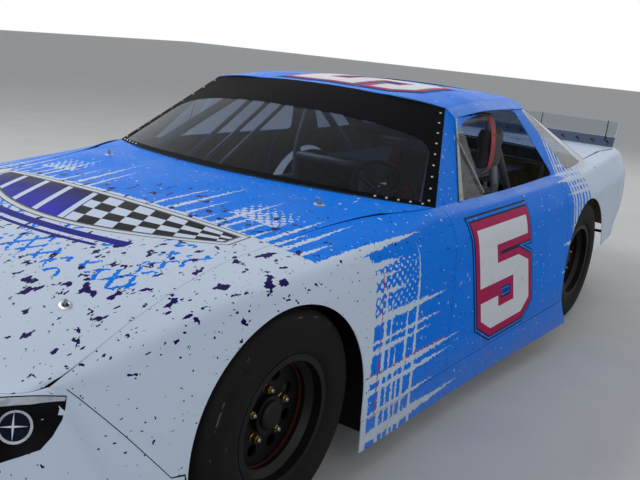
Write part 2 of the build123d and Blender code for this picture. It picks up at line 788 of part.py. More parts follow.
def tyre(side, track, axle_y):
    """A hollow slick: crowned tread, round shoulders and two beads on the rim's seats."""
    seat = rim_diameter / 2 + tyre_bead_gap
    outer = tyre_diameter / 2
    half = tyre_width / 2
    bead = rim_width / 2 - tyre_bead_gap
    tread = half - 14

    def outline(inset, foot):
        a = (foot, seat)
        flange = (foot + inset * 0.2, seat + rim_flange + 3)
        b = (half - inset, (outer + seat) / 2 - 18)
        c = (half - inset - 1, outer - 42)
        d = (tread - inset * 0.8, outer - 9 - inset)
        return a, flange, b, c, d, (0, outer - inset)

    edges = []
    for inset, foot in ((0, bead), (tyre_wall, bead - tyre_wall - 6)):
        *wall, top = [Vector(x, 0, r) for x, r in outline(inset, foot)]
        flip = [Vector(-v.X, 0, v.Z) for v in wall]
        run = [Edge.make_line(p, q) for p, q in zip(flip, flip[1:])]
        run.append(Edge.make_three_point_arc(flip[-1], top, wall[-1]))
        run += [Edge.make_line(p, q) for p, q in zip(wall[::-1], wall[-2::-1])]
        ends = (flip[0], wall[0])
        edges.append((run, ends))
    (out_run, out_ends), (in_run, in_ends) = edges
    sides = [Edge.make_line(out_ends[1], in_ends[1]), Edge.make_line(in_ends[0], out_ends[0])]
    face = Face(Wire(out_run + in_run + sides))
    return Pos(side * track / 2, axle_y, hub_height) * revolve(face, Axis.X, 360)


def caliper(side, track, axle_y, way, reach_x):
    """A caliper over the brake disc's edge, with its bracket; way is in front or behind."""
    disc0 = hub_inner_end - caliper_gap
    disc1 = hub_inner_end + brake_disc_thickness + caliper_gap
    y0 = brake_disc_radius - caliper_length
    y1 = y0 + caliper_length + caliper_gap
    tall = caliper_height / 2
    centre = track / 2
    body = block(centre + disc0 - 22, centre + disc1 + 12, y0, y1 + caliper_wall, -tall, tall)
    body -= block(centre + disc0, centre + disc1, y0 - 1, y1, -tall - 1, tall + 1)
    body += block(reach_x, centre + disc0 - 4, 20, y0 + 26, -22, 22)
    if way < 0:
        body = mirror(body, about=Plane.XZ)
    if side < 0:
        body = mirrored(body)
    return Pos(0, axle_y, hub_height) * body


def knuckle(side):
    """Upright, spindle, steering arm and caliper bracket, all about the kingpin."""
    x, y, z = kingpin_x, front_axle, hub_height
    reach = ball_joint_spread / 2 - arm_thickness / 2 - seat_gap
    half, long = upright_width / 2, upright_length / 2
    shape = block(x - half, x + half, y - long, y + long, z - reach, z + reach)
    shape += x_cylinder(spindle_radius, x, front_track / 2 + hub_outer_end - 6, y, z)
    half = steering_arm_width / 2
    shape += block(x - half, x + half, y - steering_arm_length - half, y, z - 12,
                   z + steering_arm_top)
    if side < 0:
        shape = mirrored(shape)
    shape += caliper(side, front_track, front_axle, 1, kingpin_x - 8)
    for sign in (1, -1):
        end = z + sign * reach
        hole = tube(Vector(side * x, y, end - sign * ball_pin_length),
                    Vector(side * x, y, end + sign * 5), ball_pin_radius + spindle_clearance)
        shape -= hole
    return biggest(shape)


def front_arm(high):
    """A wishbone from two bushes on the clip to the pad above or below the knuckle."""
    z = hub_height + (ball_joint_spread / 2 if high else -ball_joint_spread / 2)
    inner = clip_spacing / 2 + (cage_radius if high else rail_width / 2)
    pivot_x = inner + seat_gap + arm_bush_radius
    pad_y = front_axle
    pad = block(kingpin_x - arm_pad, kingpin_x + arm_pad, pad_y - arm_pad, pad_y + arm_pad,
                z - arm_thickness / 2, z + arm_thickness / 2)
    sign = -1 if high else 1
    face = z + sign * arm_thickness / 2
    pin = tube(Vector(kingpin_x, pad_y, face), Vector(kingpin_x, pad_y, face + sign *
               (ball_pin_length - 2)), ball_pin_radius)
    shape = pad + pin
    for way in (1, -1):
        end = Vector(pivot_x, pad_y + way * arm_pivot_spread, z)
        shape += tube(Vector(kingpin_x - 10, pad_y + way * 6, z), end, arm_tube_radius)
        bush = tube(end - Vector(0, arm_bush_length / 2, 0), end + Vector(0, arm_bush_length / 2, 0),
                    arm_bush_radius)
        shape += bush
    if not high:
        foot = spring_feet()[0]
        share = (kingpin_x - 10 - foot.X) / (kingpin_x - 10 - pivot_x)
        reach = Vector(0, 6 + (arm_pivot_spread - 6) * share, 0)
        shape += tube(foot - reach, foot + reach, spring_bar_radius)
    return shape


def tie_rod_height():
    return hub_height + steering_arm_top + tie_rod_gap + tie_rod_end_height / 2


def track_rod():
    """The rack bar with its ends over the two steering arms."""
    y, z = front_axle - steering_arm_length, tie_rod_height()
    shape = x_cylinder(tie_rod_radius, -kingpin_x, kingpin_x, y, z)
    for side in (1, -1):
        end = Vector(side * kingpin_x, y, z)
        half = Vector(0, 0, tie_rod_end_height / 2)
        shape += tube(end - half, end + half, tie_rod_end_radius)
    return shape


def steering_rack():
    """The rack housing on two feet that stand on the clip's crossmember."""
    y, z = front_axle - steering_arm_length, tie_rod_height()
    shape = x_cylinder(rack_radius, -rack_half_length, rack_half_length, y, z)
    foot = clip_height(-steering_arm_length) + cross_height / 2 + seat_gap
    wide, deep = rack_foot
    for side in (1, -1):
        shape += block(side * (rack_half_length - wide), side * rack_half_length, y - deep, y + deep,
                       foot, z - rack_radius / 2)
    return shape - x_cylinder(tie_rod_radius + spindle_clearance, -600, 600, y, z)


def clip_height(s):
    """Height of the front clip rail's centre line at a place."""
    return clip_low + (clip_high - clip_low) * (clip_rear - s) / (clip_rear - clip_front)


def wheel_hub():
    """Where the steering wheel's hub is, and the way its column points."""
    tilt = math.radians(column_tilt)
    return at(360, 1430, 735), Vector(0, math.cos(tilt), math.sin(tilt))


def steering_column():
    """Column tube with its hanger to the dash bar and the stub shaft in the wheel's hub."""
    hub, way = wheel_hub()
    shape = tube(hub - way * column_length, hub - way * 6, column_radius)
    shape += tube(hub - way * 20, hub + way * 34, stub_radius)
    dash = at(0, 1040, 800)
    reach = (hub.Y - dash.Y) / way.Y
    hanger = hub - way * reach
    top = Vector(hub.X, dash.Y, dash.Z - cage_radius - seat_gap)
    return shape + tube(hanger, top, 10)


def steering_wheel():
    """Rim, three spokes and a hub bored for the stub shaft."""
    hub, way = wheel_hub()
    plane = Plane(origin=hub, x_dir=Vector(1, 0, 0), z_dir=way)
    reach = steering_wheel_radius - steering_wheel_tube
    dish = steering_wheel_dish
    shape = Solid.make_torus(reach, steering_wheel_tube, plane.offset(dish))
    shape += tube(hub - way * 0.5, hub + way * (dish + 6), steering_hub_radius)
    for angle in (90, 210, 330):
        turn = math.radians(angle)
        out = plane.x_dir * math.cos(turn) + plane.y_dir * math.sin(turn)
        shape += bar(hub + way * (dish - 4), hub + way * dish + out * reach, *steering_spoke)
    return shape - tube(hub - way * 5, hub + way * (dish - 4), stub_radius + spindle_clearance)


def frame_rails():
    """Main rails, front clip, kick-up over the axle and the crossmembers between them."""
    half, clip, kick = rail_spacing / 2, clip_spacing / 2, kick_spacing / 2
    low = ground_clearance + rail_height / 2
    shapes = []
    for side in (1, -1):
        shapes.append(block(side * (half - rail_width / 2), side * (half + rail_width / 2),
                            along(clip_rear), along(rail_rear), low - rail_height / 2,
                            low + rail_height / 2))
        shapes.append(bar(Vector(side * clip, along(clip_rear) - seat_gap, clip_height(clip_rear)),
                          Vector(side * clip, along(clip_front), clip_height(clip_front)),
                          rail_width, rail_height))
        foot = Vector(side * kick, along(kick_start), low - 45)
        bend = Vector(side * kick, along(kick_top), kick_height)
        slope = bar(foot, bend, rail_width, cross_height)
        before = block(-2000, 2000, along(2000), along(rail_rear) + seat_gap, 0, 1000)
        behind = block(-2000, 2000, along(kick_top) - 10, along(3900), 0, 1000)
        shapes.append(biggest(cut_all(slope, [before, behind])))
        shapes.append(block(side * (kick - rail_width / 2), side * (kick + rail_width / 2),
                            along(kick_top) - 10 + seat_gap, along(kick_end),
                            kick_height - cross_height / 2, kick_height + cross_height / 2))
    inner = half - rail_width / 2 - seat_gap
    for y in (along(clip_rear) + cross_width / 2, along(cross_middle),
              along(rail_rear) - cross_width / 2):
        shapes.append(block(-inner, inner, y - cross_width / 2, y + cross_width / 2,
                            low - cross_height / 2, low + cross_height / 2))
    inner = clip - rail_width / 2 - seat_gap
    y, z = front_axle - steering_arm_length, clip_height(-steering_arm_length)
    shapes.append(block(-inner, inner, y - cross_width / 2, y + cross_width / 2,
                        z - cross_height / 2, z + cross_height / 2))
    y, z = along(clip_front), clip_height(clip_front)
    shapes.append(block(-inner, inner, y, y + cross_width, z - 30, z + 30))
    shapes.append(tow_eye(y - seat_gap, z))
    inner = kick - rail_width / 2 - seat_gap
    cell_front = along(cell_place)
    for y in (cell_front - cross_width / 2 - seat_gap,
              cell_front + fuel_cell[1] + cross_width / 2 + seat_gap):
        shapes.append(block(-inner, inner, y - cross_width / 2, y + cross_width / 2,
                            kick_height - 25, kick_height + 25))
    shapes.append(tube(*tube_line("bumper"), cage_radius))
    shapes.append(tow_eye(tube_line("bumper")[0].Y - cage_radius - seat_gap, kick_height))
    return shapes


def tow_eye(y, z):
    """A flat plate ahead of a crossbar, with an upright hole for a hook or a shackle."""
    plate = block(-tow_plate_half, tow_plate_half, y - tow_reach - tow_plate_half, y,
                  z - tow_plate / 2, z + tow_plate / 2)
    return plate - Pos(0, y - tow_reach, z) * Cylinder(tow_hole_radius, 4 * tow_plate)


def coped_tubes(rows, across_rows, floor):
    """Tubes of a table on both sides and the ones across, each a small gap from its neighbours."""
    left = {}
    for name, start, end, neighbours in rows:
        left[name] = (at(*start), at(*end))
    shapes = []
    for name, start, end, neighbours in rows:
        shape = tube(*left[name], cage_radius)
        cutters = [tube(*left[other], cage_radius + seat_gap) for other in neighbours]
        shapes += both_sides(biggest(cut_all(shape, cutters + floor)))
    for name, end, neighbours in across_rows:
        right, middle = at(*end), at(*end)
        right.X = -right.X
        cutters = []
        for other in neighbours:
            cutter = tube(*left[other], cage_radius + seat_gap)
            cutters += [cutter, mirrored(cutter)]
        shapes.append(biggest(cut_all(tube(right, middle, cage_radius), cutters)))
    return shapes


def rail_top():
    return ground_clearance + rail_height


def roll_cage():
    rails = block(-2000, 2000, along(300), along(2300), 0, rail_top() + seat_gap)
    kicks = block(-2000, 2000, along(2300), along(3600), 0, kick_height + cross_height / 2 + seat_gap)
    shapes = coped_tubes(CAGE, CAGE_ACROSS, [rails, kicks])
    cutters = [clearance_round("halo"), clearance_round("door_high")]
    for places in WINDOW_BARS:
        ends = []
        for name, s in zip(("door_high", "halo"), places):
            start, end = tube_line(name)
            ends.append(start + (end - start) * ((along(s) - start.Y) / (end.Y - start.Y)))
        bar_left = biggest(cut_all(tube(*ends, window_bar_radius), cutters))
        shapes.append(mirrored(bar_left))
    return shapes


def tube_line(name):
    """Start and end of a named tube on the left side."""
    if name == "bumper":
        y = along(kick_end) + seat_gap + cage_radius
        return Vector(-across(640), y, kick_height), Vector(across(640), y, kick_height)
    for row in CAGE + BAY:
        if row[0] == name:
            return at(*row[1]), at(*row[2])
    for row in CAGE_ACROSS + BAY_ACROSS:
        if row[0] == name:
            return at(-row[1][0], *row[1][1:]), at(*row[1])
    raise ValueError("no tube of that name")


def clearance_round(name):
    """A named tube with the gap that is left round it."""
    return tube(*tube_line(name), cage_radius + seat_gap)


def engine_bay():
    """Tubes that stand on the front clip, with the seats of the front springs."""
    clip = bar(at(370, clip_rear, clip_height(clip_rear)),
               at(370, clip_front, clip_height(clip_front)), rail_width + 2, rail_height + 1)
    low = block(-2000, 2000, along(-700), along(500), 0, up(200))
    shapes = coped_tubes(BAY, BAY_ACROSS, [clip, low])
    top = spring_tops()[0]
    start, end = tube_line("bay_front")
    held = start + (end - start) * ((top.Y - start.Y) / (end.Y - start.Y))
    seat = tube(top - Vector(0, 30, 0), top + Vector(0, 30, 0), arm_tube_radius)
    seat += tube(held, top, arm_tube_radius)
    return shapes + both_sides(biggest(seat - clearance_round("bay_front")))


def body_stays(panels):
    """Struts from the chassis that end a small gap inside the panels."""
    shapes = []
    for name, holder, start, end in STAYS:
        a, b = at(*start), at(*end)
        way = (b - a).normalized()
        shape = tube(a, b, stay_radius)
        cutters = [Pos(*(-way * seat_gap)) * panels[name]]
        if holder:
            cutters.append(clearance_round(holder))
        pieces = [p for p in cut_all(shape, cutters).solids() if p.volume > 2000]
        shapes.append(min(pieces, key=lambda solid: (solid.center() - a).length))
    return shapes


def nearest(shape, point):
    return min(shape.solids(), key=lambda solid: (solid.center() - point).length)


def floor_panels():
    """Two floor sheets on the rails and the three sheets of the tunnel over the drive shaft."""
    y0, y1 = along(firewall_place) + sheet + seat_gap, along(rail_rear)
    z = rail_top() + seat_gap
    half = rail_spacing / 2 - 8
    tunnel = tunnel_width / 2
    low = block(tunnel + seat_gap, half, y0, y1, z, z + sheet)
    wall = block(tunnel - sheet, tunnel, y0, y1, z, tunnel_height - sheet - seat_gap)
    top = block(-tunnel, tunnel, y0, y1, tunnel_height - sheet, tunnel_height)
    return both_sides([low, wall]) + [top]


def firewall():
    y0 = along(firewall_place)
    y1 = y0 + sheet
    z = rail_top() + seat_gap
    shape = block(-across(588), across(588), y0, y1, z, up(800))
    return shape - block(-gearbox_width / 2 - 15, gearbox_width / 2 + 15, y0 - 5, y1 + 5,
                         z - 5, gearbox_low + gearbox_height + 15)


def rear_tray():
    z = up(740) + cage_radius + seat_gap
    return block(-across(460), across(460), along(2140), along(3035), z, z + sheet)


def engine_block():
    """The engine and gearbox as one plain block, on two lugs between the clip rails."""
    y0 = along(60)
    y1 = y0 + engine_length
    half = engine_width / 2
    shape = block(-half, half, y0, y1, engine_low, engine_low + engine_height)
    shape += block(-gearbox_width / 2, gearbox_width / 2, y1 - 5, along(cross_middle), gearbox_low,
                   gearbox_low + gearbox_height)
    inner = clip_spacing / 2 - rail_width / 2 - seat_gap
    shape += block(-inner, inner, along(300), along(360), engine_low + 10, engine_low + 50)
    return shape


def exhaust_pipes():
    """Two pipes under the floor, hung from the middle and rear crossmembers."""
    x, z = engine_width / 2 - 55, ground_clearance - exhaust_radius
    under = ground_clearance + rail_height / 2 - cross_height / 2 - seat_gap
    shape = tube(Vector(x, along(590), z), Vector(x, along(2230), z), exhaust_radius)
    shape += tube(Vector(x, along(590), z), Vector(x, along(590), engine_low - seat_gap),
                  exhaust_radius)
    for y in (along(cross_middle), along(rail_rear) - cross_width / 2):
        shape += block(x - 10, x + 10, y - 10, y + 10, z, under)
    return both_sides(shape)


def cooling_radiator():
    y, z = along(clip_front), clip_height(clip_front) + 30 + seat_gap
    return block(-radiator[0] / 2, radiator[0] / 2, y, y + radiator[1], z, z + radiator[2])


def fuel_tank():
    y = along(cell_place)
    return block(-fuel_cell[0] / 2, fuel_cell[0] / 2, y, y + fuel_cell[1],
                 kick_height - fuel_cell[2] / 2, kick_height + fuel_cell[2] / 2)


def spring_tops():
    """Where the upper ends of the left springs are held, front and rear."""
    return at(470, 0, 620), at(410, 2538, 740)


def spring_feet():
    low = hub_height - ball_joint_spread / 2
    return (Vector(across(545), front_axle, low),
            Vector(across(410), rear_axle - 75, hub_height - 35))


def coil_springs():
    """Four coil-over units between the arms or axle and the bars above them."""
    shapes = []
    radii = ((spring_bar_radius, arm_tube_radius), (arm_tube_radius, cage_radius))
    for low, high, (low_r, high_r) in zip(spring_feet(), spring_tops(), radii):
        way = (high - low).normalized()
        start, end = low + way * (low_r + seat_gap), high - way * (high_r + seat_gap)
        length = (end - start).length
        shape = tube(start, end, arm_tube_radius)
        shape += tube(start + way * length * 0.14, end - way * length * 0.12, spring_radius)
        shapes += both_sides(shape)
    return shapes


def rear_axle_unit():
    """Axle tube, differential, spindles, trailing arms, spring seats and calipers."""
    y, z = rear_axle, hub_height
    tube_end = rear_track / 2 + hub_inner_end - 10
    shape = x_cylinder(axle_tube_radius, -tube_end, tube_end, y, z)
    end = rear_track / 2 + hub_outer_end - 6
    shape += x_cylinder(spindle_radius, -end, end, y, z)
    case_radius, case_half = differential
    shape += x_cylinder(case_radius, -case_half, case_half, y, z)
    shape += tube(Vector(0, along(shaft_rear), z), Vector(0, y, z), pinion_radius)
    seat = spring_feet()[1]
    for side in (1, -1):
        bush = Vector(side * rail_spacing / 2, along(rail_rear) + seat_gap + arm_bush_radius,
                      ground_clearance + rail_height / 2)
        shape += x_cylinder(arm_bush_radius, bush.X - 22, bush.X + 22, bush.Y, bush.Z)
        shape += tube(bush, Vector(bush.X, y, z - 15), arm_tube_radius)
        foot = Vector(side * seat.X, seat.Y, seat.Z)
        shape += x_cylinder(arm_tube_radius, foot.X - 24, foot.X + 24, foot.Y, foot.Z)
        shape += tube(foot, Vector(foot.X, y, foot.Z), arm_tube_radius)
        shape += caliper(side, rear_track, rear_axle, 1, tube_end - 20)
    return shape


def drive_shaft():
    return tube(Vector(0, along(cross_middle) + seat_gap, hub_height),
                Vector(0, along(shaft_rear) - seat_gap, hub_height), drive_shaft_radius)


def dashboard():
    """Instrument panel with a lip that meets the dash bar."""
    y = along(1040) + cage_radius + seat_gap
    z = up(800)
    x0, x1 = across(90), across(630)
    half = dash_sheet / 2
    top = block(x0, x1, y, y + dash_depth, z - half, z + half)
    return top + block(x0, x1, y + dash_depth - dash_sheet, y + dash_depth, z - dash_drop, z + half)


def seat_side(x0, x1):
    """One high side of the seat, as a plate."""
    points = ((1480, 290), (1480, 430), (1560, 470), (1760, 560), (1830, 700), (1810, 860),
              (1860, 940), (1990, 960), (1900, 290))
    outline = Wire.make_polygon([Vector(x0, along(s), up(z)) for s, z in points], close=True)
    return extrude(Face(outline), x1 - x0, dir=(1, 0, 0))


def driver_seat():
    """High-sided seat shell on two plates that stand on the floor."""
    x, half = across(seat_centre), seat_width / 2
    low = rail_top() + 2 * seat_gap + sheet
    pan = block(x - half, x + half, along(1480), along(1896), up(290) - seat_sheet, up(290))
    rear, head = Vector(x - half, along(1894), up(290)), Vector(x - half, along(1984), up(960))
    wide = Vector(seat_width, 0, 0)
    back = slab_between((rear, rear + wide), (head, head + wide), seat_sheet)
    shape = pan + back
    shape += seat_side(x - half - seat_sheet, x - half) + seat_side(x + half, x + half + seat_sheet)
    for leg in (x - half + 20, x + half - 26):
        shape += block(leg, leg + seat_sheet, along(1500), along(1880), low, up(290) - 1)
    return shape


def seat_padding():
    """Seat cushion, back pad and the two head pads."""
    x, half = across(seat_centre), seat_width / 2 - seat_gap
    z = up(290) + seat_gap
    base = block(x - half, x + half, along(1484), along(1848), z, z + cushion)
    rear, head = Vector(x - half, along(1852), up(345)), Vector(x - half, along(1936), up(948))
    wide = Vector(2 * half, 0, 0)
    back = slab_between((rear + wide, rear), (head + wide, head), -cushion)
    pads = []
    for x0, x1 in ((x - half, x - half + 26), (x + half - 26, x + half)):
        pads.append(block(x0, x1, along(1850), along(1872), up(800), up(900)))
    return [base, back] + pads


def hood_pins():
    """Four pins through the hood, each on a post from the tubes of the engine bay."""
    shapes = []
    for (px, ps), name in zip(HOOD_PINS, ("bay_front", "bay_rear")):
        rail = tube_line(name)
        x, y = across(px), along(ps)
        skin = min(crown_height(HOOD, x + dx, y + dy) for dx in (-11, 11) for dy in (-11, 11))
        top = skin - panel - seat_gap
        share = (y - rail[0].Y) / (rail[1].Y - rail[0].Y)
        held = rail[0] + (rail[1] - rail[0]) * share
        shape = tube(Vector(x, y, held.Z), Vector(x, y, top), hood_post_radius)
        shape += tube(Vector(x, y, held.Z), Vector(x, y, skin + hood_pin_stick_out), hood_pin_radius)
        shape += bar(held, Vector(x + 6, y, held.Z), hood_post_arm, hood_post_arm)
        shape = shape - clearance_round(name)
        shapes += both_sides(nearest(shape, Vector(x, y, top)))
    return shapes


def main():
    os.makedirs("parts", exist_ok=True)
    nose, tail = nose_cover(), tail_cover()
    left = {"fender": fender(), "door": side_skin(door_front, door_rear),
            "quarter": quarter_panel(), "rocker": rocker()}
    write("nose_cover", nose)
    write("rear_bumper_cover", tail)
    write("left_fender", left["fender"])
    write("right_fender", mirrored(left["fender"]))
    write("left_door", left["door"])
    write("right_door", mirrored(left["door"]))
    write("left_quarter_panel", left["quarter"])
    write("right_quarter_panel", mirrored(left["quarter"]))
    write("rocker_panels", both_sides(left["rocker"]))
    write("hood", hood())
    write("deck_lid", deck_lid())
    made = greenhouse()
    sides = both_sides([left["fender"], left["door"], left["quarter"]])
    write("roof_panel", made["roof"])
    posts = both_sides([made["a_post"], made["sail_post"], made["rear_pillar"]])
    write("window_posts", posts)
    write("windshield", made["windshield"])
    write("rear_window", made["rear_window"])
    write("side_windows", both_sides([made["quarter_window"], made["vent_window"]]))
    cowls = cowl_panels(sides + posts)
    write("interior_panels", floor_panels() + [firewall(), rear_tray()] + cowls)
    write("hood_pins", hood_pins())
    write("deck_hinges", deck_hinges())
    write("spoiler_base", spoiler(0, spoiler_base_height))
    write("spoiler_blade", spoiler(spoiler_base_height + seat_gap, spoiler_height))
    panels = dict(left, nose=nose, tail=tail, roof=made["roof"])
    write("frame_rails", frame_rails() + engine_bay() + both_sides(body_stays(panels)))
    write("roll_cage", roll_cage())
    write("engine_block", [engine_block()] + exhaust_pipes())
    write("radiator", cooling_radiator())
    write("fuel_cell", fuel_tank())
    write("rear_axle", [rear_axle_unit(), drive_shaft()])
    write("coil_springs", coil_springs())
    write("front_arms", both_sides([front_arm(True), front_arm(False)]))
    write("steering_rack", steering_rack())
    write("track_rod", track_rod())
    write("steering_column", steering_column())
    write("steering_wheel", steering_wheel())
    write("left_knuckle", knuckle(1))
    write("right_knuckle", knuckle(-1))
    write("dashboard", dashboard())
    write("driver_seat", driver_seat())
    write("seat_padding", seat_padding())
    for name, side, track, axle in (("left_front", 1, front_track, front_axle),
                                    ("right_front", -1, front_track, front_axle),
                                    ("left_rear", 1, rear_track, rear_axle),
                                    ("right_rear", -1, rear_track, rear_axle)):
        write(name + "_tyre", tyre(side, track, axle))
        write(name + "_wheel", wheel(side, track, axle))


main()
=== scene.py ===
import math

import bmesh
import bpy
from mathutils import Matrix, Vector


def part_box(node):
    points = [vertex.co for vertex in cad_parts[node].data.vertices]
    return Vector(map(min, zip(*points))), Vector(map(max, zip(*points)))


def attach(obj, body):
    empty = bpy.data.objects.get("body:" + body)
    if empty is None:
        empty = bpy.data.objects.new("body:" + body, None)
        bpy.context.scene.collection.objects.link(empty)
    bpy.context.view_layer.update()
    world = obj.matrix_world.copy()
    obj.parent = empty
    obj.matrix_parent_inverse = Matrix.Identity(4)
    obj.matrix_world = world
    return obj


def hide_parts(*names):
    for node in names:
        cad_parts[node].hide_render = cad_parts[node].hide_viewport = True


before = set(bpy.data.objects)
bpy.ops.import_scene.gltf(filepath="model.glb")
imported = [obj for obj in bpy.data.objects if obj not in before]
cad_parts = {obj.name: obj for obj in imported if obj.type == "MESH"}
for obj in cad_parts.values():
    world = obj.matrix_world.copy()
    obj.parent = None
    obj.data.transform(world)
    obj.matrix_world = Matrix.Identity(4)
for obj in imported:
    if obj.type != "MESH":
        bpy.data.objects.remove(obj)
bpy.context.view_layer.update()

bl_info = {
    "name": "Stock car looks",
    "version": (1, 0, 0),
    "blender": (4, 5, 0),
    "location": "3D View > Sidebar > Stock car",
    "description": "Skins, glass, wheels, cockpit and paint of an oval-track stock car",
    "category": "Object",
}

# The car's tables are in millimetres: half-width, place behind the front axle, height.
AXLE = 1380
WHEELBASE = 2667
HUB = 345
TYRE_OUTER = 345
FRONT_TRACK, REAR_TRACK = 1635, 1655
ROCKER_TOP, GROUND_GAP = 215, 100
QUARTER_BOTTOM = 370
DOOR_FRONT, DOOR_REAR = 985, 2290
ARCH_TOP, ARCH_SPRING = 705, 300
FRONT_ARCH, REAR_ARCH = TYRE_OUTER + 32, TYRE_OUTER + 46
REAR_ARCH_PLACE = WHEELBASE + 18
SIDE_MIDDLE = 450

# Side of the body. Columns: place, then half-width and height of the sill, the shoulder and the
# upper side, then the half-width at mid height and at the rocker.
SIDE = (
    (-660, 735, 600, 745, 592, 755, 560, 765, 770),
    (-540, 742, 655, 790, 640, 838, 590, 862, 870),
    (-400, 742, 712, 832, 695, 890, 622, 914, 926),
    (-200, 730, 765, 866, 745, 934, 665, 952, 960),
    (0, 715, 790, 886, 767, 957, 690, 972, 978),
    (300, 720, 812, 902, 786, 972, 702, 986, 991),
    (600, 765, 838, 912, 806, 977, 704, 991, 996),
    (950, 884, 856, 930, 824, 980, 706, 993, 1000),
    (1600, 884, 852, 930, 830, 985, 706, 1002, 1012),
    (2290, 862, 853, 916, 832, 986, 706, 1012, 1030),
    (2668, 838, 854, 902, 832, 982, 706, 1006, 1022),
    (3050, 800, 870, 876, 846, 962, 706, 980, 985),
    (3430, 778, 886, 852, 858, 935, 706, 945, 930),
)
# Top of the hood: place, half-width, edge height, centre height.
HOOD = (
    (-980, 735, 480, 588), (-800, 735, 540, 655), (-660, 735, 600, 695), (-540, 742, 655, 723),
    (-400, 742, 712, 752), (-200, 730, 765, 788), (0, 715, 790, 815), (300, 720, 812, 843),
    (600, 765, 838, 866), (950, 884, 856, 884),
)
# Nose and tail covers: height, then half-width and place of the edge, the side's end and the
# face's start, then the place of the tip.
NOSE = (
    (100, 925, -386, 905, -590, 660, -890, -1070),
    (325, 930, -386, 915, -590, 670, -905, -1100),
    (331, 925, -424, 912, -600, 668, -905, -1100),
    (470, 868, -532, 858, -640, 648, -880, -1075),
    (560, 800, -598, 797, -662, 620, -840, -1020),
    (600, 742, -634, 738, -672, 600, -788, -958),
)
TAIL = (
    (360, 925, 3430, 880, 3660, 760, 3790, 3815),
    (560, 942, 3430, 905, 3680, 790, 3815, 3848),
    (706, 935, 3430, 898, 3690, 790, 3822, 3860),
    (858, 852, 3430, 842, 3690, 778, 3814, 3850),
    (887, 778, 3430, 792, 3690, 752, 3802, 3838),
)
# From this point on, a cover's outline faces forwards or backwards rather than sideways.
FACE_START = 20
# The grille's opening: half-width, bottom and top. Its wire: an arc, set back, past the opening.
GRILLE = (340, 190, 300)
GRILLE_ARC, GRILLE_BACK, GRILLE_PAST = (-1094, -905, 670), 26, 12
# Roof: place, then half-width and height of four points.
ROOF = (
    (1320, 0, 1228, 420, 1218, 655, 1188, 700, 1150),
    (1800, 0, 1253, 420, 1244, 640, 1222, 704, 1182),
    (2340, 0, 1237, 400, 1228, 590, 1212, 668, 1172),
)
# The roof's edges as arcs: place of the middle, place of the end, half-width.
ROOF_FRONT = (1340, 1410, 700)
ROOF_REAR = (2312, 2285, 668)
# Posts: place of the foot on the sill, then half-width, place and height of the head.
SCREEN = (955, 655, 1400, 1193)
WINDOW_FRONT = (1150, 700, 1411, 1156)
VENT_REAR = (1400, 702, 1455, 1159)
WINDOW_REAR = (2325, 682, 2108, 1174)
QUARTER_FRONT = (2600, 671, 2232, 1174)
QUARTER_REAR = (2930, 650, 2286, 1184)
PILLAR = (3040, 600, 2290, 1209)
# Middle of the windshield's and the rear window's foot and head: place and height.
SCREEN_FOOT, SCREEN_HEAD = (722, 880), (1346, 1231)
REAR_FOOT, REAR_HEAD = (3112, 888), (2305, 1240)
# The vent wing's strip behind the post: its start and end on the sill and its end at the head.
# How far the strip and the brace stand off the wing, in metres.
VENT_STRIP = (4, 42, 12)
STRIP_OFF, BRACE_OFF = (0.0045, 0, 0.002), (0.006, 0, 0.002)
# The deck lid's rear edge, its gap to the tail cover's ledge, and the least length of the ledge.
LID_REAR, LID_GAP, LEDGE_LEAST = 3722, 4, 3
SEAM = 3

# Points inside the car that its sheets face away from, in metres.
CABIN, CABIN_MIDDLE = Vector((0, 0.4, 0.7)), Vector((0, 0.3, 0.6))

# Where the photograph was taken from: metres in the car's frame, and degrees.
CAMERA_PLACE = (2.174, -3.094, 1.457)
CAMERA_YAW, CAMERA_PITCH, CAMERA_ROLL = -34.06, -14.68, 5.25
CAMERA_LENS = 44.25

# Colours of the livery and the studio, in sRGB.
# The white carries a pale blue tint: painted light of a blue sky falling on white vinyl.
SKY_TINTED_WHITE, BLUE, PURPLE = "#D3E0F2", "#0080F6", "#1E0C58"
RED_LINE, DUST = "#B03448", "#8F8372"
FLOOR_COLOUR = "#CACAC8"
WORLD_STRENGTH = 0.42
# Lamps: name, place, what it points at, size in metres and power in watts.
LAMPS = (
    ("key", (-5.5, -2.0, 6.5), (0, 0, 0.5), 3.0, 290),
    ("side_fill", (7.0, -4.5, 4.0), (0.5, -0.5, 0.5), 5.0, 90),
    ("rear_fill", (1.0, 8.0, 5.0), (0, 1.0, 0.5), 4.0, 110),
)

# Finishes of a body panel: its outer and its inner face.
BODY_FINISHES = ("vinyl_wrap", "raw_composite")
# Steps of the arches, the hood and the panels, and the grid of the prints in metres.
ARCH_STEPS, HOOD_STEPS, PANEL_ROWS, DECAL_STEP = 44, 30, 30, 0.02
# The hood's gap to the nose cover, and how far behind it the hood's front edge rises to it.
HOOD_GAP, HOOD_RISE = 11, 160
# Where the black band down each side of a window begins, as a share of its half-width.
BAND_SIDE = 0.945
# Lower edge of the band across the top, as shares: its height, its fall to the side, its corner.
WINDSHIELD_BAND, REAR_WINDOW_BAND = (0.69, 0.12, 0.09), (0.93, 0, 0.05)
# The hood's gap to the cowl and to the fenders. Its rear corners stand further off: places
# where that gap opens and starts to close, how much it adds and the length it closes in.
COWL_GAP, HOOD_SIDE_GAP = 7, 2
CORNER_GAP = (250, 735, 17, 25)
ROCKER_FLARE = 36
# Rows of rivets: start, end and steps, beside the door's front seam and over the skirt.
SEAM_RIVETS, SEAM_RIVETS_OFF = (260, 800, 11), 16
SKIRT_RIVETS, SKIRT_RIVETS_UP = (430, 2240, 26), 14
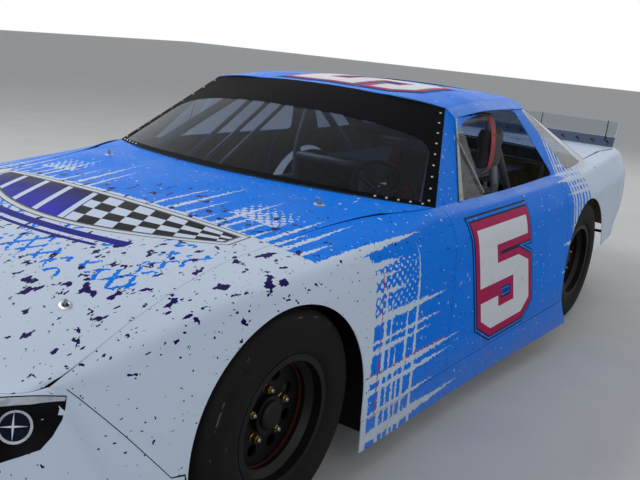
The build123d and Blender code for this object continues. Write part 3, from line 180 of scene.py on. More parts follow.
# Black wheel liners, which also paint the shade inside the front arches: bottom, top, inner end,
# gap behind the opening, gap to the side and lip.
LINER_BOTTOM, LINER_TOP, LINER_INNER, LINER_GAP, LINER_IN, LINER_LIP = 150, 740, 590, 48, 12, 22
PIN_HOLE = 0.0105
PIN_PLACES = ((548, -470), (-548, -470), (578, 620), (-578, 620))
# Oval scuff plate with a raised rim round a hood pin: height and radius.
PLATE_PROFILE = ((0.2, 9.5), (2.6, 9.8), (3.0, 11), (1.8, 13), (1.4, 18), (0.8, 19.5), (0.2, 20))
# Turned parts of a wheel and the belts' latch: how far out along the axis, and radius.
TYRE_PROFILE = ((126, 192), (130, 207), (136, 215), (141, 232), (142.5, 256), (141.8, 285),
                (138.5, 306), (133, 322), (124, 333.5), (104, 340.5), (55, 344.2), (0, 345))
NUT_PROFILE = ((0, 11), (2, 15.5), (4, 13.2), (19, 13.2), (21, 11.5), (21, 7.5), (14, 7))
STUD_PROFILE = ((0, 7), (28, 7), (30, 5.5), (30, 0))
CAP_PROFILE = ((75, 42), (76, 46), (84, 45), (90, 38), (92, 20), (92, 0))
RIM_LINE_PROFILE = ((60, 165.4), (66, 165.6), (66, 163.6), (60, 163.4))
LATCH_PROFILE = ((0, 0), (0, 24), (8, 27), (14, 26), (17, 20), (17, 0))
# Lug nuts of a wheel: how many, the radius of their circle and how far out they sit.
NUTS, NUT_CIRCLE, NUT_SEAT = 5, 80, 52
# The seat: its middle and sides, and the foot's place, foot's height and rake of its back.
SEAT_MIDDLE, SEAT_HALF = 360, 178
SEAT_LEFT, SEAT_RIGHT = SEAT_MIDDLE + SEAT_HALF, SEAT_MIDDLE - SEAT_HALF
SEAT_BACK = (1852, 345, 84 / 603)
# Boxes of the stuffed pads: the lowest and the highest corner.
CUSHION_BOX = ((SEAT_RIGHT, 1492, 296), (SEAT_LEFT, 1838, 334))
LEFT_HEAD_BOX = ((SEAT_LEFT - 14, 1800, 800), (SEAT_LEFT + 10, 1872, 900))
RIGHT_HEAD_BOX = ((SEAT_RIGHT - 10, 1800, 800), (SEAT_RIGHT + 14, 1872, 900))
NET_ROLL_BOX = ((620, 1870, 872), (660, 2078, 1092))
# The back pad: how far its two faces stand before the seat's back, bottom, top and taper.
BACK_PAD_FACES, BACK_PAD_BOTTOM, BACK_PAD_TOP, BACK_PAD_TAPER = (-46, -8), 352, 930, 20
# The spoiler's bolts and brace rods: places across it, in metres.
BOLT_REACH, BOLT_STEPS, ROD_PLACES = 0.72, 14, (-0.70, -0.24, 0.24, 0.70)
# How far a print's first layer stands off its panel, and each further one off that, in metres.
NUMBER_LIFT, NUMBER_STEP = 0.0012, 0.0008
LAMP_LIFT, LAMP_STEP = 0.001, 0.0006
# The racing number, one unit wide and a unit and a half high.
NUMBER_OUTLINE = ((0, 1.5), (1, 1.5), (1, 1.22), (0.34, 1.22), (0.34, 0.95), (0.78, 0.95),
                  (1, 0.80), (1, 0.18), (0.82, 0), (0.18, 0), (0, 0.18), (0, 0.45), (0.34, 0.45),
                  (0.34, 0.28), (0.66, 0.28), (0.66, 0.67), (0, 0.67))
# Layers of a number from the bottom up: how far each reaches past the fill, and its finish.
NUMBER_LAYERS = ((0.058, "navy_vinyl"), (0.051, "vinyl_wrap"), (0.041, "navy_vinyl"),
                 (0.034, "magenta_vinyl"), (0, "white_vinyl"))
# Door number: place of its front foot, height of its foot, width and lean, in metres.
DOOR_NUMBER = (1.29, 0.29, 0.52, 0.27)
ROOF_NUMBER = (0.40, 1.50, 0.46, 0.66)
# The printed headlights, in metres on the face at the lamp: along the nose and upwards.
LAMP_MIDDLE = (190, 554)
LAMP_OUTLINE = ((-0.110, 0.080), (-0.108, 0.047), (-0.103, 0.018), (-0.084, -0.021),
                (-0.060, -0.050), (-0.019, -0.064), (0.021, -0.075), (0.110, -0.066),
                (0.155, -0.015), (0.165, 0.050), (0.150, 0.070), (0.033, 0.073), (-0.010, 0.074))
LAMP_BROW = ((-0.108, 0.0765), (-0.010, 0.0705), (0.145, 0.067), (0.150, 0.050), (0.030, 0.048),
             (-0.033, 0.052), (-0.106, 0.066))
LAMP_ROUND = (-0.005, 0.0, 0.038)


def spot(x, s, z):
    """A point from its half-width, place behind the front axle and height."""
    return Vector((x, s - AXLE, z)) / 1000


def slope(rows, i, column):
    """Slope of a table's column at a row, level where the column turns."""
    if i == 0:
        return (rows[1][column] - rows[0][column]) / (rows[1][0] - rows[0][0])
    before = (rows[i][column] - rows[i - 1][column]) / (rows[i][0] - rows[i - 1][0])
    if i == len(rows) - 1:
        return before
    after = (rows[i + 1][column] - rows[i][column]) / (rows[i + 1][0] - rows[i][0])
    if before * after <= 0:
        return 0
    return 2 * before * after / (before + after)


def flow(rows, t):
    """The row of a table at t, on a smooth curve through its rows."""
    t = min(max(t, rows[0][0]), rows[-1][0])
    i = max(k for k in range(len(rows) - 1) if rows[k][0] <= t)
    a, b = rows[i], rows[i + 1]
    span = b[0] - a[0]
    w = (t - a[0]) / span
    found = [t]
    for c in range(1, len(a)):
        start, end = slope(rows, i, c) * span, slope(rows, i + 1, c) * span
        found.append(a[c] * (1 + 2 * w) * (1 - w) ** 2 + start * w * (1 - w) ** 2
                     + b[c] * w * w * (3 - 2 * w) + end * w * w * (w - 1))
    return found


def curve_rows(points):
    """Points of a path with the length so far in front of each."""
    rows = [(0, *points[0])]
    for a, b in zip(points, points[1:]):
        rows.append((rows[-1][0] + math.dist(a, b), *b))
    return rows


def spread(start, end, count):
    """Even steps from start to end, both included."""
    return [start + (end - start) * i / count for i in range(count + 1)]


def side_rows(s):
    """Section of the left side at a place, as a path of half-width and height."""
    row = flow(SIDE, s)
    return curve_rows([(row[1], row[2]), (row[3], row[4]), (row[5], row[6]),
                       (row[7], SIDE_MIDDLE), (row[8], ROCKER_TOP)])


def length_at(rows, height):
    """How far down a section a height is reached."""
    low, high = 0, rows[-1][0]
    for _ in range(24):
        middle = (low + high) / 2
        if flow(rows, middle)[2] > height:
            low = middle
        else:
            high = middle
    return (low + high) / 2


def side_x(s, z):
    """Half-width of the body's side at a place and height."""
    rows = side_rows(s)
    return flow(rows, length_at(rows, z))[1]


def arch_height(s, centre, half):
    """Lower edge of the side over a wheel opening."""
    share = min(1, abs(s - centre) / half)
    return ARCH_SPRING + (ARCH_TOP - ARCH_SPRING) * math.sqrt(1 - share * share)


def circle_through(a, b, half):
    """An arc over a chord: the place at a half-width, from its middle a and its end b at half."""
    rise = b - a
    radius = (half * half + rise * rise) / (2 * abs(rise))
    return lambda x: a + math.copysign(radius - math.sqrt(max(radius ** 2 - x * x, 0)), rise)


def select_only(obj):
    """Selects one object alone and makes it the active one."""
    for other in bpy.context.selected_objects:
        other.select_set(False)
    obj.select_set(True)
    bpy.context.view_layer.objects.active = obj


def apply_all(obj):
    """Applies an object's modifiers in their order."""
    select_only(obj)
    for modifier in list(obj.modifiers):
        bpy.ops.object.modifier_apply(modifier=modifier.name)


def modify(obj, kind, **settings):
    """Adds a modifier with its settings."""
    modifier = obj.modifiers.new(kind.title(), kind)
    for name, value in settings.items():
        setattr(modifier, name, value)
    return modifier


def new_object(name, mesh):
    """Puts a mesh into the scene as an object."""
    obj = bpy.data.objects.new(name, mesh)
    bpy.context.scene.collection.objects.link(obj)
    return obj


def finish_piece(obj, material, body, nodes=(), angle=35):
    """Smooth shading, the finish and the body that a piece rides on."""
    select_only(obj)
    bpy.ops.object.shade_smooth_by_angle(angle=math.radians(angle))
    if material:
        obj.data.materials.clear()
        obj.data.materials.append(material)
    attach(obj, body)
    if nodes:
        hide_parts(*nodes)
    return obj


def face_away(bm, inside):
    """Turns a sheet's faces away from a point."""
    total = sum((f.calc_center_median() - inside).dot(f.normal) * f.calc_area() for f in bm.faces)
    if total < 0:
        bmesh.ops.reverse_faces(bm, faces=bm.faces[:])


def sheet(name, patches, inside, wall=None, hole=None, finishes=()):
    """A skin from patches, each a list of rows of points, with a wall on its inner side. A
    hole tells by its middle which face is left out. Finishes are the outer and the inner."""
    bm = bmesh.new()
    for rows in patches:
        grid = [[bm.verts.new(p) for p in row] for row in rows]
        for i in range(len(grid) - 1):
            for j in range(len(grid[i]) - 1):
                corners = ((i, j), (i + 1, j), (i + 1, j + 1), (i, j + 1))
                verts = [grid[a][b] for a, b in corners]
                middle = sum((v.co for v in verts), Vector()) / 4
                if not (hole and hole(middle)):
                    bm.faces.new(verts)
    bmesh.ops.remove_doubles(bm, verts=bm.verts[:], dist=0.0002)
    loose = [f for f in bm.faces if f.calc_area() < 1e-9]
    bmesh.ops.delete(bm, geom=loose, context="FACES")
    bm.normal_update()
    face_away(bm, inside)
    mesh = bpy.data.meshes.new(name)
    bm.to_mesh(mesh)
    bm.free()
    for look in finishes:
        mesh.materials.append(finish(look))
    obj = new_object(name, mesh)
    thick = bpy.context.scene.stock_car_sizes.panel_wall if wall is None else wall / 1000
    if thick:
        modify(obj, "SOLIDIFY", thickness=thick, offset=-1,
               material_offset=max(0, len(finishes) - 1))
        apply_all(obj)
    return obj


def mirrored(vector):
    """The same place or direction on the other side of the car."""
    return Vector((-vector.x, vector.y, vector.z))


def mirror_copy(obj, name):
    """The same piece on the other side of the car."""
    mesh = obj.data.copy()
    mesh.transform(Matrix.Scale(-1, 4, (1, 0, 0)))
    mesh.flip_normals()
    return new_object(name, mesh)


def both_sides(name, left, material, nodes=()):
    """One finished piece on the chassis from a left half and its mirror image."""
    right = mirror_copy(left, name + "_right")
    return finish_piece(join(name, [left, right]), material, "chassis", nodes)


def join(name, objects):
    """Joins objects into the first, under a new name."""
    for other in bpy.context.selected_objects:
        other.select_set(False)
    for obj in objects:
        obj.select_set(True)
    bpy.context.view_layer.objects.active = objects[0]
    bpy.ops.object.join()
    objects[0].name = name
    return objects[0]


def turn_to(way):
    """Turns the X axis to a direction."""
    return Vector((1, 0, 0)).rotation_difference(Vector(way)).to_matrix().to_4x4()


def turned(name, profile, steps=64, close=False):
    """A piece spun about X from a profile of (along, radius) points in millimetres."""
    mesh = bpy.data.meshes.new(name)
    count = len(profile)
    edges = [(i, i + 1) for i in range(count - 1)] + ([(count - 1, 0)] if close else [])
    mesh.from_pydata([(a / 1000, 0, r / 1000) for a, r in profile], edges, [])
    obj = new_object(name, mesh)
    select_only(obj)
    bpy.ops.object.mode_set(mode="EDIT")
    bpy.ops.mesh.select_all(action="SELECT")
    bpy.ops.mesh.spin(steps=steps, angle=2 * math.pi, center=(0, 0, 0), axis=(1, 0, 0))
    bpy.ops.mesh.select_all(action="SELECT")
    bpy.ops.mesh.remove_doubles(threshold=0.00002)
    bpy.ops.mesh.normals_make_consistent(inside=False)
    bpy.ops.object.mode_set(mode="OBJECT")
    return obj


def round_uv(obj):
    """Gives a turned piece a map of the share of the turn and the radius in metres."""
    layer = obj.data.uv_layers.new(name="UVMap")
    vertices = obj.data.vertices
    for polygon in obj.data.polygons:
        shares = []
        for index in polygon.vertices:
            co = vertices[index].co
            shares.append(math.atan2(co.y, co.z) / (2 * math.pi) + 0.5)
        for loop, index, share in zip(polygon.loop_indices, polygon.vertices, shares):
            co = vertices[index].co
            wrapped = share + (1 if max(shares) - share > 0.5 else 0)
            layer.data[loop].uv = (wrapped, math.hypot(co.y, co.z))


def copy_at(obj, name, matrix):
    """A copy of a piece with its points moved by a matrix."""
    mesh = obj.data.copy()
    mesh.transform(matrix)
    if matrix.determinant() < 0:
        mesh.flip_normals()
    return new_object(name, mesh)


def drop(obj):
    """Removes an object that only helped to make another."""
    bpy.data.objects.remove(obj)


def pipe(name, points, radius):
    """A thin round rod with closed ends along points in metres."""
    curve = bpy.data.curves.new(name, "CURVE")
    curve.dimensions = "3D"
    spline = curve.splines.new("NURBS")
    spline.points.add(len(points) - 1)
    for point, place in zip(spline.points, points):
        point.co = (*place, 1)
    spline.order_u = 3
    spline.use_endpoint_u = True
    spline.resolution_u = 8
    curve.bevel_depth = radius / 1000
    curve.bevel_resolution = 2
    curve.use_fill_caps = True
    made = new_object(name, curve)
    mesh = bpy.data.meshes.new_from_object(made.evaluated_get(
        bpy.context.evaluated_depsgraph_get()))
    drop(made)
    return new_object(name, mesh)


def linear(hex_colour):
    """An sRGB hex value as a linear colour."""
    parts = [int(hex_colour[i:i + 2], 16) / 255 for i in (1, 3, 5)]
    return [c / 12.92 if c <= 0.04045 else ((c + 0.055) / 1.055) ** 2.4 for c in parts] + [1]


def add(tree, kind, sources=None, **settings):
    """Adds a node with its settings. Sources fill its inputs with values or links."""
    node = tree.nodes.new("ShaderNode" + kind)
    for name, value in settings.items():
        setattr(node, name, value)
    inputs = [i for i in node.inputs if i.enabled]
    for key, value in (sources or {}).items():
        socket = inputs[key] if isinstance(key, int) else next(i for i in inputs if i.name == key)
        if isinstance(value, bpy.types.Node):
            value = next(o for o in value.outputs if o.enabled)
        if isinstance(value, bpy.types.NodeSocket):
            tree.links.new(value, socket)
        else:
            socket.default_value = value
    return node


def start_material(name, hex_colour, roughness, **sockets):
    """A material with its shader: the name, the tree and the shader's node."""
    material = bpy.data.materials.new(name)
    material.use_nodes = True
    tree = material.node_tree
    shader = next(n for n in tree.nodes if n.type == "BSDF_PRINCIPLED")
    shader.inputs["Base Color"].default_value = linear(hex_colour)
    shader.inputs["Roughness"].default_value = roughness
    for key, value in sockets.items():
        shader.inputs[key.replace("_", " ")].default_value = value
    return material, tree, shader


def link_looks(tree, shader, **nodes):
    """Links each node's first output in use to the shader's input of that name."""
    for name, node in nodes.items():
        output = next(o for o in node.outputs if o.enabled)
        tree.links.new(output, shader.inputs[name.replace("_", " ")])


def worn(name, hex_colour, worn_hex, roughness, grain, mottle=90, depth=0.15, rub=0.58,
         **sockets):
    """A finish with patches worn to another colour, uneven gloss and fine bumps."""
    material, tree, shader = start_material(name, hex_colour, roughness, **sockets)
    place = add(tree, "TexCoord").outputs["Object"]
    wide = add(tree, "TexNoise", {"Vector": place, "Scale": 1000 / mottle, "Detail": 6.0,
                                  "Roughness": 0.65})
    share = add(tree, "MapRange", {"Value": wide, "From Min": rub, "From Max": rub + 0.12})
    colour = add(tree, "Mix", {"Factor": share, "A": linear(hex_colour), "B": linear(worn_hex)},
                 data_type="RGBA")
    fine = add(tree, "TexNoise", {"Vector": place, "Scale": 1000 / grain, "Detail": 3.0})
    smooth, rough = max(roughness - 0.08, 0.03), roughness + 0.1
    gloss = add(tree, "MapRange", {"Value": fine, "From Min": 0.3, "From Max": 0.7,
                                   "To Min": smooth, "To Max": rough})
    bump = add(tree, "Bump", {"Strength": depth, "Distance": grain / 5000, "Height": fine})
    link_looks(tree, shader, Base_Color=colour, Roughness=gloss, Normal=bump)
    return material


# Brush strokes of the livery, in metres: the end where a stroke tapers out, its middle across
# the body, half its width and the length of its taper. The place across is the half-width less
# the height, so it runs from the middle of the hood over the shoulder and down the side.
REARWARD_STROKES = (
    (0.47, -0.66, 0.010, 0.30), (0.58, -0.58, 0.012, 0.35), (0.42, -0.50, 0.008, 0.22),
    (0.55, -0.36, 0.010, 0.30), (0.46, -0.31, 0.009, 0.25), (0.40, -0.24, 0.008, 0.20),
    (0.50, -0.13, 0.013, 0.30), (0.55, -0.04, 0.013, 0.35), (0.36, 0.03, 0.010, 0.16),
    (0.76, 0.125, 0.026, 0.36), (0.60, 0.215, 0.020, 0.20), (0.93, 0.425, 0.015, 0.30),
    (0.90, 0.505, 0.006, 0.20), (0.82, 0.540, 0.010, 0.25), (1.08, 0.640, 0.014, 0.40),
    (1.02, 0.685, 0.010, 0.30), (0.88, 0.775, 0.010, 0.20), (1.10, 0.855, 0.020, 0.40),
    (1.00, 0.915, 0.009, 0.20), (0.62, 0.33, 0.008, 0.12), (0.30, -0.18, 0.014, 0.20),
    (0.34, -0.08, 0.016, 0.24), (0.27, -0.42, 0.012, 0.16), (0.56, 0.265, 0.016, 0.16),
)
UPWARD_STROKES = (
    (0.16, 0.700, 0.009, 0.30), (0.40, 0.630, 0.008, 0.12), (0.30, 0.480, 0.010, 0.10),
    (0.55, 0.560, 0.008, 0.10), (0.62, 0.590, 0.006, 0.10), (0.36, 0.520, 0.005, 0.10),
)
DOWNWARD_STROKES = (
    (0.56, 2.390, 0.007, 0.16), (0.60, 2.430, 0.013, 0.20), (0.62, 2.478, 0.009, 0.20),
    (0.58, 2.525, 0.013, 0.18), (0.64, 2.585, 0.014, 0.20), (0.66, 2.640, 0.018, 0.20),
)
FORWARD_STROKES = (
    (2.36, -0.05, 0.012, 0.20), (2.26, 0.025, 0.016, 0.24), (2.22, 0.090, 0.020, 0.24),
    (2.36, 0.150, 0.010, 0.20), (2.30, 0.200, 0.012, 0.20), (2.34, 0.40, 0.012, 0.20),
    (2.24, 0.49, 0.022, 0.24), (2.36, 0.56, 0.014, 0.20), (2.24, 0.65, 0.024, 0.24),
)
# Where the strokes up and down the side stop or start: between both wheels.
MID_CAR = 1.5


def brush_strokes(tree, painted, along, across):
    """Adds the tapered strokes to what is painted white."""
    ahead = add(tree, "Math", {0: along, 1: MID_CAR}, operation="LESS_THAN")
    behind = add(tree, "Math", {0: along, 1: MID_CAR}, operation="GREATER_THAN")
    for strokes, run, cross, way, part in (
            (REARWARD_STROKES, along, across, 1, ahead),
            (UPWARD_STROKES, across, along, -1, ahead),
            (DOWNWARD_STROKES, across, along, 1, behind),
            (FORWARD_STROKES, along, across, -1, behind)):
        group = None
        for end, middle, half, taper in strokes:
            width = add(tree, "Math", {0: run, 1: -way * half / taper,
                                       2: way * end * half / taper}, operation="MULTIPLY_ADD")
            width = add(tree, "Math", {0: width, 1: half}, operation="MINIMUM")
            inside = add(tree, "Math", {0: cross, 1: middle, 2: width}, operation="COMPARE")
            group = inside if group is None else add(tree, "Math", {0: group, 1: inside},
                                                     operation="MAXIMUM")
        group = add(tree, "Math", {0: group, 1: part}, operation="MULTIPLY")
        painted = add(tree, "Math", {0: painted, 1: group}, operation="MAXIMUM")
    return painted


def halftone(tree, painted, along, across):
    """Adds white dots 26 mm apart, smaller to the rear, in two patches."""
    flat = add(tree, "CombineXYZ", {0: along, 1: across})
    turned_place = add(tree, "Mapping", {"Vector": flat, "Rotation": (0, 0, 0.78)})
    dots = add(tree, "TexVoronoi", {"Vector": turned_place, "Scale": 38.0, "Randomness": 0.0},
               voronoi_dimensions="2D").outputs["Distance"]
    for middle, half, start, end in ((0.32, 0.10, 0.20, 0.70), (-0.30, 0.11, 0.30, 0.46)):
        size = add(tree, "MapRange", {"Value": along, "From Min": start, "From Max": end,
                                      "To Min": 0.50, "To Max": 0.14})
        dot = add(tree, "Math", {0: dots, 1: size}, operation="LESS_THAN")
        band = add(tree, "Math", {0: across, 1: middle, 2: half}, operation="COMPARE")
        span = add(tree, "Math", {0: along, 1: (start + end) / 2, 2: (end - start) / 2},
                   operation="COMPARE")
        for other in (band, span):
            dot = add(tree, "Math", {0: dot, 1: other}, operation="MULTIPLY")
        painted = add(tree, "Math", {0: painted, 1: dot}, operation="MAXIMUM")
    return painted


def cross_hatch(tree, place, rough_place, along, across):
    """Share of blue hatching brushed over the white front in ragged patches, 55 mm apart."""
    top = add(tree, "Math", {0: across, 1: -0.12}, operation="LESS_THAN")
    near = add(tree, "Math", {0: along, 1: -0.20, 2: 0.20}, operation="COMPARE")
    lines = None
    for turn in (0.62, -0.5):
        lean = add(tree, "Mapping", {"Vector": rough_place, "Rotation": (0, 0, turn)})
        lean_x = add(tree, "SeparateXYZ", {0: lean}).outputs["X"]
        wave = add(tree, "Math", {0: lean_x, 1: 0.0275}, operation="PINGPONG")
        line = add(tree, "Math", {0: wave, 1: 0.0065}, operation="LESS_THAN")
        lines = line if lines is None else add(tree, "Math", {0: lines, 1: line},
                                               operation="MAXIMUM")
    wide = add(tree, "TexNoise", {"Vector": place, "Scale": 8.0, "Detail": 1.0})
    ragged = add(tree, "TexNoise", {"Vector": place, "Scale": 28.0, "Detail": 2.0})
    wide = add(tree, "Math", {0: wide, 1: 0.48}, operation="GREATER_THAN")
    ragged = add(tree, "Math", {0: ragged, 1: 0.43}, operation="GREATER_THAN")
    for other in (top, near, wide, ragged):
        lines = add(tree, "Math", {0: lines, 1: other}, operation="MULTIPLY")
    return lines


def splatter(tree, place, along, across):
    """Share of dark drops: dabs of 10 to 40 mm over the front wheel, fine specks behind."""
    drawn_out = add(tree, "Mapping", {"Vector": place, "Scale": (1.1, 0.75, 1.1),
                                      "Rotation": (0.2, 0, 0.35)})
    blots = add(tree, "TexNoise", {"Vector": drawn_out, "Scale": 27.0, "Detail": 2.0,
                                   "Roughness": 0.45, "Lacunarity": 2.6})
    drift = add(tree, "TexNoise", {"Vector": place, "Scale": 3.0, "Detail": 1.0})
    level = add(tree, "MapRange", {"Value": drift, "From Min": 0.35, "From Max": 0.65,
                                   "To Min": 0.63, "To Max": 0.595})
    behind = add(tree, "MapRange", {"Value": along, "From Min": 0.15, "From Max": 0.6,
                                    "To Min": 0.0, "To Max": 0.12})
    ahead = add(tree, "MapRange", {"Value": along, "From Min": -0.35, "From Max": -0.60,
                                   "To Min": 0.0, "To Max": 0.05})
    low = add(tree, "MapRange", {"Value": across, "From Min": 0.14, "From Max": 0.34,
                                 "To Min": 0.0, "To Max": 0.12})
    for other in (behind, ahead, low):
        level = add(tree, "Math", {0: level, 1: other}, operation="ADD")
    blot = add(tree, "Math", {0: blots, 1: level}, operation="GREATER_THAN")
    fine = add(tree, "TexNoise", {"Vector": drawn_out, "Scale": 85.0, "Detail": 1.0})
    fine = add(tree, "Math", {0: fine, 1: 0.73}, operation="GREATER_THAN")
    front = add(tree, "Math", {0: along, 1: MID_CAR}, operation="LESS_THAN")
    fine = add(tree, "Math", {0: fine, 1: front}, operation="MULTIPLY")
    return add(tree, "Math", {0: blot, 1: fine}, operation="MAXIMUM")


def red_lines(tree, colour, along, across):
    """Two thin red lines drawn over the strokes behind the front wheel, 5 mm wide."""
    for run, middle, cross, start, end in ((along, 0.455, across, 0.24, 0.80),
                                           (across, 0.625, along, 0.38, 0.95)):
        line = add(tree, "Math", {0: run, 1: middle, 2: 0.0025}, operation="COMPARE")
        span = add(tree, "Math", {0: cross, 1: (start + end) / 2, 2: (end - start) / 2},
                   operation="COMPARE")
        ahead = add(tree, "Math", {0: along, 1: MID_CAR}, operation="LESS_THAN")
        for other in (span, ahead):
            line = add(tree, "Math", {0: line, 1: other}, operation="MULTIPLY")
        colour = add(tree, "Mix", {"Factor": line, "A": colour, "B": linear(RED_LINE)},
                     data_type="RGBA")
    return colour


def ragged_place(tree, place):
    """The place pushed about by up to 11 mm, which gives what is painted a ragged edge."""
    noise = add(tree, "TexNoise", {"Vector": place, "Scale": 70.0, "Detail": 3.0})
    push = add(tree, "VectorMath", {0: noise.outputs["Color"], 1: (0.5, 0.5, 0.5)},
               operation="SUBTRACT")
    push = add(tree, "VectorMath", {0: push, "Scale": 0.022}, operation="SCALE")
    return add(tree, "VectorMath", {0: place, 1: push}, operation="ADD")


def livery_print(tree, place, rough_place, badge):
    """The print of the wrap: white at both ends of the car and blue between, with strokes,
    dots, hatching, drops and thin lines."""
    colours = bpy.context.scene.stock_car_colours
    # The white carries a blue tint, which is painted sky light on white vinyl.
    white, blue, navy = colours.sky_tinted_stroke_white[:], colours.main_blue[:], colours.splatter[:]
    axes = add(tree, "SeparateXYZ", {0: rough_place})
    far = add(tree, "Math", {0: axes.outputs["X"]}, operation="ABSOLUTE")
    across = add(tree, "Math", {0: far, 1: axes.outputs["Z"]}, operation="SUBTRACT")
    along = add(tree, "Math", {0: axes.outputs["Y"], 1: AXLE / 1000}, operation="ADD")
    on_side = add(tree, "MapRange", {"Value": across, "From Min": 0.11, "From Max": 0.16})
    edge = add(tree, "MapRange", {"Value": on_side, "To Min": 0.18, "To Max": 0.41})
    front = add(tree, "Math", {0: along, 1: edge}, operation="LESS_THAN")
    rear = add(tree, "Math", {0: along, 1: 2.68}, operation="GREATER_THAN")
    painted = add(tree, "Math", {0: front, 1: rear}, operation="MAXIMUM")
    painted = brush_strokes(tree, painted, along, across)
    painted = halftone(tree, painted, along, across)
    specks = add(tree, "TexNoise", {"Vector": place, "Scale": 60.0, "Detail": 1.0})
    specks = add(tree, "Math", {0: specks, 1: 0.735}, operation="GREATER_THAN")
    painted = add(tree, "Math", {0: painted, 1: specks}, operation="MAXIMUM")
    colour = add(tree, "Mix", {"Factor": painted, "A": blue, "B": white}, data_type="RGBA")
    hatch = cross_hatch(tree, place, rough_place, along, across)
    colour = add(tree, "Mix", {"Factor": hatch, "A": colour, "B": blue}, data_type="RGBA")
    dark = splatter(tree, place, along, across)
    colour = add(tree, "Mix", {"Factor": dark, "A": colour, "B": navy}, data_type="RGBA")
    colour = red_lines(tree, colour, along, across)
    return checkered_band(tree, place, colour) if badge else colour


def livery(name, badge=False):
    """Vinyl wrap printed with brush strokes over a composite panel. It gives soft reflections
    over flat, sharp-edged colour, and road dust settles low down."""
    material, tree, shader = start_material(name, "#F0F0F0", 0.4, Specular_IOR_Level=0.03)
    place = add(tree, "TexCoord").outputs["Object"]
    rough_place = ragged_place(tree, place)
    colour = livery_print(tree, place, rough_place, badge)
    height = add(tree, "SeparateXYZ", {0: rough_place}).outputs["Z"]
    dust = add(tree, "MapRange", {"Value": height, "From Min": 0.34, "From Max": 0.10,
                                  "To Min": 0.0, "To Max": 0.55})
    cloud = add(tree, "TexNoise", {"Vector": place, "Scale": 14.0, "Detail": 6.0})
    dust = add(tree, "Math", {0: dust, 1: cloud}, operation="MULTIPLY")
    colour = add(tree, "Mix", {"Factor": dust, "A": colour, "B": linear(DUST)},
                 data_type="RGBA")
    smear = add(tree, "TexNoise", {"Vector": place, "Scale": 5.0, "Detail": 5.0})
    gloss = add(tree, "MapRange", {"Value": smear, "From Min": 0.3, "From Max": 0.7,
                                   "To Min": 0.26, "To Max": 0.42})
    wave = add(tree, "TexNoise", {"Vector": place, "Scale": 3.2, "Detail": 1.0})
    bump = add(tree, "Bump", {"Strength": 0.25, "Distance": 0.004, "Height": wave})
    link_looks(tree, shader, Base_Color=colour, Roughness=gloss, Normal=bump)
    return material


def checkered_band(tree, place, colour):
    """A tapered band across the hood: checks on the left part, blue bars on the right one,
    between dark and silver outlines, and two blue lines in front of it."""
    axes = add(tree, "SeparateXYZ", {0: place})
    x = axes.outputs["X"]
    s = add(tree, "Math", {0: axes.outputs["Y"], 1: AXLE / 1000}, operation="ADD")
    square = add(tree, "Math", {0: x, 1: x}, operation="MULTIPLY")
    middle = add(tree, "Math", {0: square, 1: 0.30, 2: 0.0}, operation="MULTIPLY_ADD")
    half = add(tree, "Math", {0: square, 1: -0.26, 2: 0.125}, operation="MULTIPLY_ADD")
    row = add(tree, "Math", {0: s, 1: middle}, operation="SUBTRACT")
    row = add(tree, "Math", {0: row, 1: half}, operation="DIVIDE")
    lean = add(tree, "Math", {0: s, 1: 0.5, 2: x}, operation="MULTIPLY_ADD")
    column = add(tree, "Math", {0: lean, 1: 13.0, 2: 40.0}, operation="MULTIPLY_ADD")
    row = add(tree, "Math", {0: row, 1: 2.0, 2: 10.0}, operation="MULTIPLY_ADD")
    cells = add(tree, "CombineXYZ", {0: column, 1: row, 2: 0.5})
    # The white checks and gaps carry a blue tint, which is painted sky light on white vinyl.
    checks = add(tree, "TexChecker", {"Vector": cells, "Scale": 1.0,
                                      "Color1": linear("#05070F"), "Color2": linear(SKY_TINTED_WHITE)})
    shade = add(tree, "MapRange", {"Value": s, "From Min": -0.10, "From Max": 0.14})
    bars = add(tree, "Mix", {"Factor": shade, "A": linear("#1418B8"), "B": linear("#05061E")},
               data_type="RGBA")
    wave = add(tree, "Math", {0: lean, 1: 0.07}, operation="PINGPONG")
    gap = add(tree, "Math", {0: wave, 1: 0.014}, operation="LESS_THAN")
    bars = add(tree, "Mix", {"Factor": gap, "A": bars, "B": linear(SKY_TINTED_WHITE)}, data_type="RGBA")
    right = add(tree, "Math", {0: lean, 1: 0.02}, operation="LESS_THAN")
    motif = add(tree, "Mix", {"Factor": right, "A": checks, "B": bars}, data_type="RGBA")
    for grow, layer in ((0.034, linear("#11141C")), (0.029, linear("#D9DEE8")),
                        (0.012, linear("#7C828F")), (0.005, linear("#0A0D16")), (0, motif)):
        width = add(tree, "Math", {0: half, 1: grow}, operation="ADD")
        inside = add(tree, "Math", {0: s, 1: middle, 2: width}, operation="COMPARE")
        ends = add(tree, "Math", {0: x, 1: 0.0, 2: 0.60 + grow}, operation="COMPARE")
        inside = add(tree, "Math", {0: inside, 1: ends}, operation="MULTIPLY")
        colour = add(tree, "Mix", {"Factor": inside, "A": colour, "B": layer},
                     data_type="RGBA")
    for back, thick, reach in ((0.195, 0.018, 0.42), (0.24, 0.008, 0.34)):
        line = add(tree, "Math", {0: middle, 1: back}, operation="SUBTRACT")
        line = add(tree, "Math", {0: s, 1: line, 2: thick}, operation="COMPARE")
        ends = add(tree, "Math", {0: x, 1: 0.0, 2: reach}, operation="COMPARE")
        line = add(tree, "Math", {0: line, 1: ends}, operation="MULTIPLY")
        colour = add(tree, "Mix", {"Factor": line, "A": colour, "B": linear("#11118A")},
                     data_type="RGBA")
    return colour


def on_sill(s):
    """The point of the left sill at a place."""
    row = flow(SIDE, s)
    return spot(row[1], s, row[2])


def side_patch(places, upper, lower, rows):
    """Points on the left side between two heights, one row of them for each place."""
    grid = []
    for s in places:
        section = side_rows(s)
        start = length_at(section, upper(s)) if upper else 0
        end = length_at(section, lower(s))
        grid.append([spot(x, s, z) for _, x, z in
                     (flow(section, t) for t in spread(start, max(end, start), rows))])
    return grid


